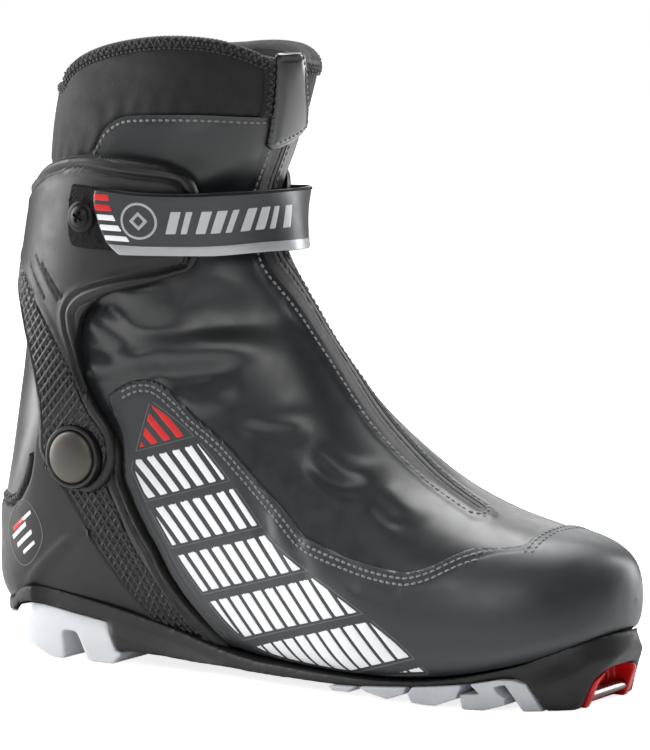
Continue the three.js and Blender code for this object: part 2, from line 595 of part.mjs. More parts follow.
// ---------- zip, in two halves either side of the flex gap ----------
// centre line, [u, v]
const ZIP_LINE = [
  [6.1, 0.925], [6.7, 0.945], [7.5, 0.962], [8.4, 0.977], [9.3, 0.996], [10.1, 1.002],
  [11.2, 0.998], [12.5, 0.98], [13.3, 0.984], [14.8, 0.992], [17, 1.005], [18.6, 0.99],
  [20, 0.985],
];
const zipV = (u) => interpolate(ZIP_LINE, u);
const zipBand = (us, halfWidth, offsets, steps) =>
  patch(us, (u) => zipV(u) - halfWidth, (u) => zipV(u) + halfWidth, offsets, steps);
for (const [tag, us, region] of [
  ["lower", range(6.2, 10.9, 0.5), INSTEP],
  ["upper", range(13.2, 17.4, 0.5), UPPER],
]) {
  add("zip_tape_" + tag, zipBand(us, 0.036, OFFSETS.tape, 3).intersect(region), "textile");
  add("zip_coil_" + tag, zipBand(us, 0.012, OFFSETS.coil, 2).intersect(region), "rubber");
}

// ---------- shaft and collar ----------
// region swept by the overlay, so that the shaft's sheet stops clear of it through the whole flex
function overlaySweep() {
  const clearance = 0.8;
  const turns = [0, 4, 8, 12, 15.6].map((degrees) => {
    const cos = Math.cos((degrees * Math.PI) / 180);
    const sin = Math.sin((degrees * Math.PI) / 180);
    return sideXZ(OVERLAY.map(([x, z]) => {
      const dx = x - PIVOT[0];
      const dz = z + clearance - PIVOT[1];
      return [PIVOT[0] + dx * cos - dz * sin, PIVOT[1] + dx * sin + dz * cos];
    }));
  });
  return turns.reduce((sum, turn) => sum.add(turn));
}
add("shaft_softshell", SOFTSHELL.intersect(UPPER)
  .subtract(overlaySweep())
  .intersect(between(SHAFT_BASE, lift(COLLAR_LOW, -0.2))), "soft");
add("shaft_liner", shell(...OFFSETS.liner, ROWS, INNER_COLUMNS)
  .intersect(UPPER)
  .intersect(between(SHAFT_BASE, lift(RIM, -6))), "foam");
add("collar", shell(...OFFSETS.collar)
  .intersect(between(lift(COLLAR_LOW, 0.2), lift(RIM, -3.6))), "neoprene");
add("collar_binding", shell(...OFFSETS.binding)
  .intersect(between(lift(RIM, -3.2), RIM)), "textile");
// front view, [y, z]
const FLAP = [
  [-18, 257.3], [-3.6, 257.2], [-1, 251.8], [3.9, 241.9], [12.7, 228.8], [13.6, 226.6],
  [9.7, 223.1], [-0.6, 219.5], [-7.4, 217.6], [-11, 218.3], [-14, 233],
];
add("collar_flap", shell(...OFFSETS.flap).intersect(frontYZ(FLAP, 118, 175)), "soft");

// ---------- cuff and strap ----------
const OUTER_SCREW = [68.7, 189.4]; // x and z of the strap screw on the outer side
const INNER_SCREW = [66, OUTER_SCREW[1]];
const outerHole = (radius) => cylinder(radius, OUTER_SCREW, -70, 0, 20);
const innerHole = (radius) => cylinder(radius, INNER_SCREW, 0, 70, 20);
add("cuff_shell", shell(...OFFSETS.cuff)
  .intersect(sideXZ(CUFF))
  .subtract(RIVET_HOLE)
  .subtract(outerHole(2.5))
  .subtract(innerHole(2.5)), "shell");
add("cuff_lining", shell(...OFFSETS.lining)
  .intersect(sideXZ(LINING))
  .subtract(outerHole(3.2))
  .subtract(innerHole(3.2)), "foam");
const LOOP = [[62.3, 201.2], [95, 199.4], [101, 177.5], [60.5, 178]];
add("strap_loop_patch", shell(...OFFSETS.loop)
  .intersect(sideXZ(LOOP, -HALF_REACH, 0))
  .subtract(outerHole(2.5)), "textile");

// strap edges shared by both sides, round the front of the shaft
const STRAP_FRONT = [
  [95, 200], [114, 199.7], [129, 200.5], [175, 201.5], [175, 176.6], [141.8, 176],
  [127, 174.3], [117, 173.7], [97, 173.6],
];
const STRAP_OUTER = [
  [75.2, 200.4], [76, 202], ...STRAP_FRONT,
  [86.6, 174.3], [80.3, 179.3], [77.2, 185.6], [74.8, 193.3],
];
const STRAP_INNER = [[76, 201.2], ...STRAP_FRONT, [76, 174.6]];
const STRAP_ROWS = ROWS.filter((u) => u >= 11 && u <= 20.5);
add("power_strap", shell(...OFFSETS.strap, STRAP_ROWS, 28)
  .intersect(sideXZ(STRAP_OUTER, -HALF_REACH, 0).add(sideXZ(STRAP_INNER, -0.5))), "strap");

// turned profiles, [radius, y]
const WASHER = [[2.6, -50], [5.9, -50], [6.2, -50.4], [5.6, -51.2], [2.6, -51.2], [2.6, -50]];
const STRAP_SCREW = [
  [0, -41.6], [2, -41.6], [2, -51.5], [4.2, -51.5], [4.2, -52.1], [3.2, -52.9], [0, -53.1],
];
const ANCHOR_SCREW = [
  [0, 40.9], [2.1, 40.9], [2.1, 50.4], [4.3, 50.4], [4.3, 51], [3.2, 51.9], [0, 52.1],
];
add("strap_washer", turned(WASHER, OUTER_SCREW, 16), "gunmetal");
// one arm of the cross slot in the screw head
function slot(halfX, halfZ) {
  const [x, z] = OUTER_SCREW;
  return sideXZ(rect(x - halfX, z - halfZ, x + halfX, z + halfZ), -54, -52.2);
}
add("strap_screw", turned(STRAP_SCREW, OUTER_SCREW, 16)
  .subtract(slot(2.3, 0.5))
  .subtract(slot(0.5, 2.3)), "gunmetal");
const ANCHOR = [[58, 199], [74.6, 199.5], [74.6, 176.5], [58, 177.5], [55, 183], [55, 194]];
add("strap_anchor_medial", shell(...OFFSETS.anchor)
  .intersect(sideXZ(ANCHOR, 0))
  .subtract(innerHole(2.6)), "shell");
add("strap_anchor_screw", turned(ANCHOR_SCREW, INNER_SCREW, 16), "gunmetal");

// ---------- cuff pivots: domed rivet with a backing plate inside the upper ----------
// [radius, distance from the middle plane]
const RIVET = [
  [0, 34], [3.4, 34], [3.4, 44.5], [10.9, 44.5], [11, 45.2], [9.6, 46.2], [6.2, 47],
  [3, 47.35], [0, 47.45],
];
for (const [side, tag] of [[-1, "lateral"], [1, "medial"]]) {
  add("pivot_rivet_" + tag, turned(RIVET.map(([r, y]) => [r, side * y]), PIVOT, 22), "gunmetal");
  const [y0, y1] = side < 0 ? [-60, -10] : [10, 60];
  add("pivot_backing_" + tag, shell(...OFFSETS.backing)
    .intersect(cylinder(9.5, PIVOT, y0, y1, 24))
    .subtract(cylinder(3.75, PIVOT, -60, 60, 20)), "steel");
}

// ---------- zip slider and pull tab, parked under the strap ----------
const ZIP_PATH = { centre: [350.4, 284.3], radius: 236.6 }; // slider's arc in side view
const SLIDER_AT = [135.5, 184];
const SLIDER_U = 13.4;
// profiles of [distance along the path, distance out of the boot]
const SLIDER_BODY = [[-5.5, -1], [5, -1], [5.5, -0.6], [4.6, 0.35], [-3.8, 0.35], [-5.5, -0.1]];
const SLIDER_BRIDGE = [[-2.2, 0.3], [2.2, 0.3], [1.6, 0.75], [-1.6, 0.75]];
const PULLER = [[-1, 1.05], [6.4, 0.85], [7, 1.05], [6.4, 1.25], [-0.6, 1.45], [-1.2, 1.25]];
function onZipPath(profile, halfWidth) {
  const { centre: [x, z], radius } = ZIP_PATH;
  const start = Math.atan2(z - SLIDER_AT[1], x - SLIDER_AT[0]);
  const middle = basePoint(SLIDER_U, zipV(SLIDER_U))[1];
  const outline = profile.map(([along, out]) => {
    const angle = start + along / radius;
    return [x - (radius - out) * Math.cos(angle), z - (radius - out) * Math.sin(angle)];
  });
  return sideXZ(outline, middle - halfWidth, middle + halfWidth);
}
add("zip_slider", onZipPath(SLIDER_BODY, 3.2).add(onZipPath(SLIDER_BRIDGE, 0.9)), "gunmetal");
add("zip_puller", onZipPath(PULLER, 1.5), "gunmetal");

const group = new THREE.Group();
group.add(boot);
export default group;
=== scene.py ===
import sys
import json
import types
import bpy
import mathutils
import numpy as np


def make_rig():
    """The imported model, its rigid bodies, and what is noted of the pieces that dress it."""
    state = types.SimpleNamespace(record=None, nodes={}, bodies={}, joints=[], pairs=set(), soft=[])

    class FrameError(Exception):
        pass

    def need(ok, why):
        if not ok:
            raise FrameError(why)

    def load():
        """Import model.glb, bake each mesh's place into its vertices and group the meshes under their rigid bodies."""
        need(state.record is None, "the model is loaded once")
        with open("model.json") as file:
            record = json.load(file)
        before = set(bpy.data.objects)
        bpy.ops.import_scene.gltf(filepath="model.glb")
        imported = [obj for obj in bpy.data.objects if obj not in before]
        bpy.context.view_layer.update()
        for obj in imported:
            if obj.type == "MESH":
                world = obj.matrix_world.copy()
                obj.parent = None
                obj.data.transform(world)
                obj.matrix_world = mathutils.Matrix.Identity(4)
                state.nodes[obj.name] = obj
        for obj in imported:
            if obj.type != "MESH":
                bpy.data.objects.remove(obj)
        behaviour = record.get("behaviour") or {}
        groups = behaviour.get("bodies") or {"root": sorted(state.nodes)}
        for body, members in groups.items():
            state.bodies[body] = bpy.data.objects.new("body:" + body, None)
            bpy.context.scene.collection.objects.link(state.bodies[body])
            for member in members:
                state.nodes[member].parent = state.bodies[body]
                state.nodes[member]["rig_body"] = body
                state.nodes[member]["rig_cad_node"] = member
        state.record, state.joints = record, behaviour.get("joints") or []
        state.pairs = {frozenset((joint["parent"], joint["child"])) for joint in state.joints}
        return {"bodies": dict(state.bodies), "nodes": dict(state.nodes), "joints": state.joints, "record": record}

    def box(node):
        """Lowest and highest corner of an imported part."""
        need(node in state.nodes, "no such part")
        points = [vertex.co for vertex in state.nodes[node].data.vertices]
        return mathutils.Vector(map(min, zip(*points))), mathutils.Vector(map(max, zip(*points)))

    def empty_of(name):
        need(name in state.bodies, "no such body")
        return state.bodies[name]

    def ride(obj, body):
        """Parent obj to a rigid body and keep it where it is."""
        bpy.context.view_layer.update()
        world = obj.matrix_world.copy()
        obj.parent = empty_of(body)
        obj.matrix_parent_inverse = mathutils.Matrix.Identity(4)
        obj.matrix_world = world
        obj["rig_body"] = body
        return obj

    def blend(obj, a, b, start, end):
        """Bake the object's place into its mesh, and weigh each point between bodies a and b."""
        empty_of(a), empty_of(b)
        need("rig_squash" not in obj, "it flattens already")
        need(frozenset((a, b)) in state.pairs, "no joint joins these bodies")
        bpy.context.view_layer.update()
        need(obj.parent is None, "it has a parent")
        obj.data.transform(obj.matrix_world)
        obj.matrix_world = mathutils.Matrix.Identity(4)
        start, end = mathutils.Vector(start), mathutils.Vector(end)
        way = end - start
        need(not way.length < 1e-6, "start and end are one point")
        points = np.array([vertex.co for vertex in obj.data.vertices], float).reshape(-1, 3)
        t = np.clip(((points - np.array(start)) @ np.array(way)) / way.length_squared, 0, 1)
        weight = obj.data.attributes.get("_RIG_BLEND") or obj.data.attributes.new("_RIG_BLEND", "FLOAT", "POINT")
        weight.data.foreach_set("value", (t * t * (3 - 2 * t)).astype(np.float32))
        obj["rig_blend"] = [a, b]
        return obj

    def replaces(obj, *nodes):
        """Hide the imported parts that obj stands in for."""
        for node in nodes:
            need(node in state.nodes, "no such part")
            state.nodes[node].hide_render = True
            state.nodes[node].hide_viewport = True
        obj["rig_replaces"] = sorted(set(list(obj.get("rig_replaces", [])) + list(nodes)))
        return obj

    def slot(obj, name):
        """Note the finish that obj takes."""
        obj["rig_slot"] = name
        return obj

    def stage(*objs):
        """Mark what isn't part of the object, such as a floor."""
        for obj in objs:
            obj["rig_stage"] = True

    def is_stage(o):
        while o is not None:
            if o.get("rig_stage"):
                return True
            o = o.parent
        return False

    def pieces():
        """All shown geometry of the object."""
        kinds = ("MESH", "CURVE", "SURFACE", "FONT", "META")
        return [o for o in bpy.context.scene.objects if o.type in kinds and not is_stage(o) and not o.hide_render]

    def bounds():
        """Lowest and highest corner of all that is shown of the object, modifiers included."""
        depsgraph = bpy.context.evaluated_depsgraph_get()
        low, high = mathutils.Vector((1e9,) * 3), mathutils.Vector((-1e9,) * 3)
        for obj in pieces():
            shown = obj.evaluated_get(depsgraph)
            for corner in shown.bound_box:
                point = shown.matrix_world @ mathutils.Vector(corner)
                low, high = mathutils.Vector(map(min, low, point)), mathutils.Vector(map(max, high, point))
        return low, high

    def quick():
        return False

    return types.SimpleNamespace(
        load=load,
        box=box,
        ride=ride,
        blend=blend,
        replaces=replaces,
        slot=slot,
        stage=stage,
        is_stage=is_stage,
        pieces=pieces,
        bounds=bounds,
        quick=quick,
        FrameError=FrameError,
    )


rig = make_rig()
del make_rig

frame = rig.load()
CAD_BOX = [list(map(float, c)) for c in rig.bounds()]

import json
import math
import bpy
import numpy as np
from mathutils import Vector
from mathutils.bvhtree import BVHTree

# ---------------------------------------------------------------- layout frame (mm) tied to the CAD's toe bar
_a, _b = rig.box("toe_bar")
ORIGIN = np.array([287.8, 1.0, 4.6]) - np.array((_a + _b) / 2) * 1000.0
PIVOT = np.array([59.3, 88.0])


def M(P):
    return (np.asarray(P, float) - ORIGIN) / 1000.0


# ---------------------------------------------------------------- the last: one smooth surface, toe (u=0) to collar (u=22)
ST = np.array([
    [297, 41, 297, 41.8, .5, .5, .5, 2, 2, 8, 8], [296, 31, 296, 50, 8, 7, .47, 2.3, 2.2, 7, 8], [293, 27.5, 293, 56, 17, 13.5, .36, 2.6, 2.3, 6, 8],
    [286, 24, 286, 60.5, 27, 25, .26, 3.2, 2.4, 5, 7], [275, 19.6, 275, 64.5, 36.5, 36, .25, 4, 2.4, 4, 6], [258, 14.4, 258, 68.5, 43.5, 42.5, .28, 4.8, 2.35, 2, 5],
    [236, 10.2, 237, 74.5, 47.5, 45.5, .297, 5.2, 2.25, 1, 4], [212, 8, 215, 85, 49, 45.5, .29, 5.2, 2.1, 0, 3], [188, 7.9, 195, 100, 47.5, 42, .26, 5, 2, -.5, 2],
    [162, 8, 177, 117, 43.5, 37, .25, 4.6, 1.95, -.5, 1], [134, 9, 162, 135.5, 39, 33.5, .27, 4, 1.95, -.5, 0], [104, 10, 150, 152, 35.5, 32.5, .33, 3.4, 2, -.5, 0],
    [70, 11, 141, 166, 34, 33, .4, 3, 2.05, 0, 0], [36, 12, 134, 178, 35, 34.5, .46, 2.9, 2.1, 0, 0], [8, 20, 129.5, 188, 36.5, 36, .5, 2.8, 2.1, 0, 0],
    [.5, 48, 128, 196, 38, 37.5, .5, 2.5, 2.15, 0, 0], [5, 80, 129, 204, 39, 38.5, .5, 2.3, 2.2, 0, 0], [10, 112, 132, 212, 39.5, 39, .5, 2.2, 2.2, 0, 0],
    [14, 146, 136, 220, 40, 39.5, .5, 2.15, 2.2, 0, 0], [19, 180, 140, 230, 40.5, 40, .5, 2.1, 2.2, 0, 0], [26, 212, 144, 242, 41, 40.5, .5, 2.1, 2.2, 0, 0],
    [30, 240, 147, 255, 41.5, 41, .5, 2.1, 2.2, 0, 0], [31, 264, 148, 268, 41.5, 41.5, .5, 2.1, 2.2, 0, 0]], float)


def spline_rows(T, u):
    n = len(T)
    u = np.clip(np.asarray(u, float), 0, n - 1)
    i = np.minimum(u.astype(int), n - 2)
    t = (u - i)[:, None]
    p1, p2 = T[i], T[i + 1]
    p0 = np.where((i > 0)[:, None], T[np.maximum(i - 1, 0)], 2 * p1 - p2)
    p3 = np.where((i < n - 2)[:, None], T[np.minimum(i + 2, n - 1)], 2 * p2 - p1)
    return p1 + .5 * t * (p2 - p0 + t * (2 * p0 - 5 * p1 + 4 * p2 - p3 + t * (3 * (p1 - p2) + p3 - p0)))


def half_section(row, nv):
    xb, zb, xf, zf, wl, wm, m, nb, nt, yb, yf = row
    ph = np.linspace(0, np.pi, 241)
    c, s = np.abs(np.cos(ph)), np.abs(np.sin(ph))
    lo = ph <= np.pi / 2
    p = np.where(lo, m - m * c ** (2 / nb), m + (1 - m) * c ** (2 / nt))
    out = []
    for w, sg in ((wl, -1), (wm, 1)):
        q = np.where(lo, s ** (2 / nb), s ** (2 / nt)) * w
        P = np.stack([xb + (xf - xb) * p, sg * q + yb + (yf - yb) * p, zb + (zf - zb) * p], 1)
        d = np.r_[0, np.cumsum(np.linalg.norm(np.diff(P, axis=0), axis=1))]
        k = 120
        dd = np.r_[np.linspace(0, d[k], nv // 2 + 1), np.linspace(d[k], d[-1], nv - nv // 2 + 1)[1:]]
        out.append(np.stack([np.interp(dd, d, P[:, j]) for j in range(3)], 1))
    return out


class Sheet:
    """A table of points P[a, b] with normals and arc lengths, read at fractional indices."""

    def __init__(s, P, wrap, sa, sb, flip=1):
        s.P, s.wrap, s.sa, s.sb = P, wrap, sa, sb
        if wrap:
            E = np.concatenate([P[:, -2:], P, P[:, :2]], 1)
            db = np.gradient(E, axis=1)[:, 2:-2]
        else:
            db = np.gradient(P, axis=1)
        da = np.gradient(P, axis=0)
        n = np.cross(da, db) * flip
        n /= np.maximum(np.linalg.norm(n, axis=2, keepdims=True), 1e-9)
        s.N = n
        nb = P.shape[1]
        la = np.r_[0, np.cumsum(np.linalg.norm(np.diff(P[:, nb // 4], axis=0), axis=1))]
        s.LA = np.repeat(la[:, None], nb, 1)
        seg = np.linalg.norm(np.diff(P, axis=1), axis=2)
        lb = np.concatenate([np.zeros((P.shape[0], 1)), np.cumsum(seg, 1)], 1)
        if wrap:
            back = np.concatenate([np.zeros((P.shape[0], 1)), np.cumsum(np.concatenate([np.linalg.norm(P[:, :1] - P[:, -1:], axis=2), seg[:, ::-1]], 1), 1)], 1)[:, :nb]
            rb = np.zeros_like(lb)
            rb[:, 0] = 0
            rb[:, 1:] = back[:, 1:][:, ::-1]
            h = nb // 2
            L = lb.copy()
            L[:, h:] = rb[:, h:]
            lb = L
        s.LB = lb

    def read(s, a, b, *tabs):
        fa = np.clip(np.asarray(a, float) * s.sa, 0, s.P.shape[0] - 1)
        fb = np.asarray(b, float) * s.sb
        nb = s.P.shape[1]
        if not s.wrap:
            fb = np.clip(fb, 0, nb - 1)
        i = np.minimum(np.floor(fa).astype(int), s.P.shape[0] - 2)
        j = np.floor(fb).astype(int)
        if not s.wrap:
            j = np.minimum(j, nb - 2)
        ta, tb = fa - i, fb - j
        j0, j1 = (j % nb, (j + 1) % nb) if s.wrap else (j, j + 1)
        out = []
        for T in tabs or (s.P, s.N):
            x, y = (ta, tb) if T.ndim == 2 else (ta[..., None], tb[..., None])
            out.append((T[i, j0] * (1 - x) + T[i + 1, j0] * x) * (1 - y) + (T[i, j1] * (1 - x) + T[i + 1, j1] * x) * y)
        if not tabs:
            out[1] = out[1] / np.maximum(np.linalg.norm(out[1], axis=-1, keepdims=True), 1e-9)
        return out

    def at(s, a, b, d=0):
        P, N = s.read(a, b)
        return P + N * np.asarray(d, float)[..., None] if np.ndim(d) else P + N * d


NV = 256
_rows = spline_rows(ST, np.linspace(0, 22, 1101))
_T = np.zeros((1101, 2 * NV, 3))
for _i, _r in enumerate(_rows):
    _l, _m = half_section(_r, NV)
    _T[_i, :NV + 1] = _l
    _T[_i, NV:] = _m[::-1][:NV]
LAST = Sheet(_T, True, 50.0, float(NV))
_p, _n = LAST.read(np.array([8.0]), np.array([0.5]))
if _n[0, 1] > 0:
    LAST.N *= -1


# ---------------------------------------------------------------- plane tools
def smooth_line(pts, k=6, closed=False):
    P = np.asarray(pts, float)
    if closed:
        P = np.concatenate([P[-1:], P, P[:2]], 0)
    else:
        P = np.concatenate([2 * P[:1] - P[1:2], P, 2 * P[-1:] - P[-2:-1]], 0)
    t = np.arange(k)[:, None] / k
    out = []
    for i in range(1, len(P) - 2):
        a, b, c, d = P[i - 1], P[i], P[i + 1], P[i + 2]
        out.append(b + .5 * t * (c - a + t * (2 * a - 5 * b + 4 * c - d + t * (3 * (b - c) + d - a))))
    r = np.concatenate(out, 0)
    return r if closed else np.concatenate([r, P[-2:-1]], 0)


def line_dist(p, line, closed=False):
    """unsigned distance of points p to a polyline, with the arc length along it of the nearest point"""
    L = np.asarray(line, float)
    A, B = (L, np.roll(L, -1, 0)) if closed else (L[:-1], L[1:])
    D = B - A
    l2 = np.maximum((D ** 2).sum(1), 1e-12)
    s0 = np.r_[0, np.cumsum(np.sqrt(l2))][:-1]
    best, where = np.full(len(p), 1e18), np.zeros(len(p))
    for k in range(len(A)):
        v = p - A[k]
        t = np.clip((v @ D[k]) / l2[k], 0, 1)
        d = ((v - t[:, None] * D[k]) ** 2).sum(1)
        m = d < best
        best[m] = d[m]
        where[m] = (s0[k] + t * math.sqrt(l2[k]))[m]
    return np.sqrt(best), where


def inside(p, poly):
    x, y = p[:, 0], p[:, 1]
    r = np.zeros(len(p), bool)
    P = np.asarray(poly, float)
    Q = np.roll(P, -1, 0)
    for (x1, y1), (x2, y2) in zip(P, Q):
        if y1 == y2:
            continue
        c = ((y1 > y) != (y2 > y)) & (x < (x2 - x1) * (y - y1) / (y2 - y1) + x1)
        r ^= c
    return r


def poly_sd(p, poly):
    d, _ = line_dist(p, poly, True)
    return np.where(inside(p, poly), d, -d)


def sstep(x, a, b):
    t = np.clip((np.asarray(x, float) - a) / (b - a), 0, 1)
    return t * t * (3 - 2 * t)


def bump(x, c, w):
    """a smooth hump of half-width w round c"""
    t = np.clip(np.abs(x - c) / w, 0, 1)
    return (1 - t * t) ** 2


def round_edge(sd, r):
    t = np.clip(1 - sd / r, 0, 1)
    return np.sqrt(np.clip(1 - t * t, 0, 1))


def vnoise(P, scale, seed=0):
    """smooth value noise in -1..1, the same each run"""
    q = np.asarray(P, float) / scale + 100.0
    i = np.floor(q).astype(np.int64)
    f = q - i
    f = f * f * (3 - 2 * f)
    out = np.zeros(len(q))
    for dx in (0, 1):
        for dy in (0, 1):
            for dz in (0, 1):
                h = ((i[:, 0] + dx) * 73856093) ^ ((i[:, 1] + dy) * 19349663) ^ ((i[:, 2] + dz) * 83492791) ^ (seed * 2654435761)
                h = (h ^ (h >> 13)) * 1274126177
                h = (h ^ (h >> 16)) & 0xFFFF
                w = (f[:, 0] if dx else 1 - f[:, 0]) * (f[:, 1] if dy else 1 - f[:, 1]) * (f[:, 2] if dz else 1 - f[:, 2])
                out += w * (h / 32767.5 - 1)
    return out


# ---------------------------------------------------------------- cutting a region out of a sheet
def cut(sheet, ra, rb, step, fn, snap=0.28):
    """fn(P, N, a, b) gives the signed distance in mm, positive inside. Returns a, b, faces, sd."""
    a0, a1 = ra
    b0, b1 = rb
    A = np.linspace(a0, a1, 9)
    Bm = np.linspace(b0, b1, 9)
    PA = sheet.at(A, np.full(9, (b0 + b1) / 2)) if not (sheet.wrap and b1 - b0 > 1.99) else sheet.at(A, np.full(9, .5))
    la = np.linalg.norm(np.diff(PA, axis=0), axis=1).sum()
    lb = max(np.linalg.norm(np.diff(sheet.at(np.full(9, x), Bm), axis=0), axis=1).sum() for x in A[1:-1:2])
    na, nb = max(int(la / step) + 1, 3), max(int(lb / step) + 1, 3)
    full = sheet.wrap and abs((b1 - b0) * sheet.sb - sheet.P.shape[1]) < 1e-6
    a = np.linspace(a0, a1, na)
    b = np.linspace(b0, b1, nb, endpoint=not full)
    GA, GB = np.meshgrid(a, b, indexing="ij")
    P, N = sheet.read(GA.ravel(), GB.ravel())
    sd = fn(P, N, GA.ravel(), GB.ravel()).reshape(na, len(b))
    # points near the line move onto it, so that the cut leaves no slivers
    ga = np.gradient(sd, axis=0)
    gb = np.gradient(np.concatenate([sd[:, -1:], sd, sd[:, :1]], 1), axis=1)[:, 1:-1] if full else np.gradient(sd, axis=1)
    g = np.maximum(ga ** 2 + gb ** 2, 1e-9)
    near = np.abs(sd) < snap * np.sqrt(g)
    near[0] = near[-1] = False
    if not full:
        near[:, 0] = near[:, -1] = False
    da, db = (a[1] - a[0]), (b[1] - b[0])
    GA = np.where(near, GA - sd * ga / g * da, GA)
    GB = np.where(near, GB - sd * gb / g * db, GB)
    sd = np.where(near, 0.0, sd)
    n2 = len(b)
    idx = np.arange(na * n2).reshape(na, n2)
    if full:
        i0, i1 = idx[:-1], idx[1:]
        j0, j1 = i0, np.roll(i0, -1, 1)
        k0, k1 = i1, np.roll(i1, -1, 1)
    else:
        j0, j1, k0, k1 = idx[:-1, :-1], idx[:-1, 1:], idx[1:, :-1], idx[1:, 1:]
    j0, j1, k0, k1 = (x.ravel() for x in (j0, j1, k0, k1))
    F = np.concatenate([np.stack([j0, j1, k1], 1), np.stack([j0, k1, k0], 1)], 0)
    a, b, s = GA.ravel(), GB.ravel(), sd.ravel()
    per = sheet.P.shape[1] / sheet.sb
    pos = s[F] > 0
    zero = s[F] == 0
    keep = (pos | zero).all(1) & pos.any(1)
    mixed = (pos.any(1)) & ((s[F] < 0).any(1))
    faces = [F[keep]]
    na_, nb_, ns_ = [a], [b], [s]
    base = len(a)
    edges = {}
    extra_a, extra_b = [], []

    def mid(i, j):
        nonlocal base
        key = (i, j) if i < j else (j, i)
        if key in edges:
            return edges[key]
        t = s[i] / (s[i] - s[j])
        bi, bj = b[i], b[j]
        if full and abs(bj - bi) > per / 2:
            bj += per if bj < bi else -per
        extra_a.append(a[i] + (a[j] - a[i]) * t)
        extra_b.append(bi + (bj - bi) * t)
        edges[key] = base
        base += 1
        return base - 1

    new = []
    for tri in F[mixed]:
        v = [int(x) for x in tri]
        sv = [s[x] for x in v]
        poly = []
        for k in range(3):
            i, j = v[k], v[(k + 1) % 3]
            si, sj = sv[k], sv[(k + 1) % 3]
            if si >= 0:
                poly.append(i)
            if (si > 0 and sj < 0) or (si < 0 and sj > 0):
                poly.append(mid(i, j))
        for k in range(1, len(poly) - 1):
            new.append((poly[0], poly[k], poly[k + 1]))
    if new:
        faces.append(np.array(new, int))
    F = np.concatenate(faces, 0)
    a = np.r_[a, extra_a]
    b = np.r_[b, extra_b]
    s = np.r_[s, np.zeros(len(extra_a))]
    used = np.unique(F)
    mp = np.full(len(a), -1)
    mp[used] = np.arange(len(used))
    return a[used], b[used], mp[F], s[used]


PIECES = {}


def to_mesh(name, V, F, uv=None, edge=None, sharp=42, smooth=True):
    """mesh from layout millimetres; F is an (n, 3|4) array or a list of tuples"""
    me = bpy.data.meshes.new(name)
    V = M(V)
    if isinstance(F, np.ndarray):
        n, k = F.shape
        me.vertices.add(len(V))
        me.vertices.foreach_set("co", V.astype(np.float32).ravel())
        me.loops.add(n * k)
        me.loops.foreach_set("vertex_index", F.astype(np.int32).ravel())
        me.polygons.add(n)
        me.polygons.foreach_set("loop_start", np.arange(0, n * k, k, dtype=np.int32))
        me.update(calc_edges=True)
        me.validate()
    else:
        me.from_pydata([tuple(v) for v in V], [], F)
        me.validate()
    if uv is not None:
        layer = me.uv_layers.new(name="UVMap")
        li = np.zeros(len(me.loops), np.int32)
        me.loops.foreach_get("vertex_index", li)
        layer.data.foreach_set("uv", (np.asarray(uv)[li] / 1000.0).astype(np.float32).ravel())
    if edge is not None:
        at = me.attributes.new("edge", "FLOAT", "POINT")
        at.data.foreach_set("value", np.asarray(edge, np.float32))
    if smooth:
        me.polygons.foreach_set("use_smooth", np.ones(len(me.polygons), bool))
        me.set_sharp_from_angle(angle=math.radians(sharp))
    ob = bpy.data.objects.new(name, me)
    bpy.context.scene.collection.objects.link(ob)
    PIECES[name] = ob
    return ob


def closed(sheet, region, dout, din):
    """closed body over a region between two offsets; returns V, F, uv, edge"""
    a, b, F, sd = region
    P, N = sheet.read(a, b)
    LA, LB = sheet.read(a, b, sheet.LA, sheet.LB)
    n = len(a)
    dout = np.broadcast_to(dout, (n,))
    din = np.broadcast_to(din, (n,))
    O, I = P + N * dout[:, None], P + N * din[:, None]
    A, B, C = O[F[:, 0]], O[F[:, 1]], O[F[:, 2]]
    nn = np.cross(B - A, C - A)
    if (nn * N[F[:, 0]]).sum() < 0:
        F = F[:, ::-1]
    E = np.concatenate([F[:, [0, 1]], F[:, [1, 2]], F[:, [2, 0]]], 0)
    key = E[:, 0].astype(np.int64) * (n + 1) + E[:, 1]
    rev = E[:, 1].astype(np.int64) * (n + 1) + E[:, 0]
    bd = E[~np.isin(key, rev)]
    W = np.concatenate([np.stack([bd[:, 1], bd[:, 0], bd[:, 0] + n], 1), np.stack([bd[:, 1], bd[:, 0] + n, bd[:, 1] + n], 1)], 0)
    FF = np.concatenate([F, F[:, ::-1] + n, W], 0)
    uv = np.stack([LB, LA], 1)
    return np.concatenate([O, I], 0), FF, np.concatenate([uv, uv], 0), np.concatenate([sd, np.zeros(n)], 0)


def merge(parts):
    V, F, U, E, k = [], [], [], [], 0
    for v, f, u, e in parts:
        V.append(v); F.append(f + k); U.append(u); E.append(e)
        k += len(v)
    return np.concatenate(V), np.concatenate(F), np.concatenate(U), np.concatenate(E)


def piece(name, parts, mat, body, slot=None, sharp=42):
    V, F, U, E = merge(parts) if isinstance(parts, list) else parts
    ob = to_mesh(name, V, F, U, E, sharp)
    ob.data.materials.append(mat)
    if body:
        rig.ride(ob, body)
    if slot:
        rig.slot(ob, slot)
    return ob


# flex of the soft sheet across the ankle, in layout mm
FLEX = ((60.0, 0.0, 118.9), (51.25, 0.0, 152.7))


def flexes(ob):
    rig.blend(ob, "boot", "cuff", start=tuple(M(FLEX[0])), end=tuple(M(FLEX[1])))


# ---------------------------------------------------------------- materials
def hex_rgb(r, g, b):
    return tuple(((c / 255) / 12.92 if c / 255 <= .04045 else ((c / 255 + .055) / 1.055) ** 2.4) for c in (r, g, b)) + (1,)


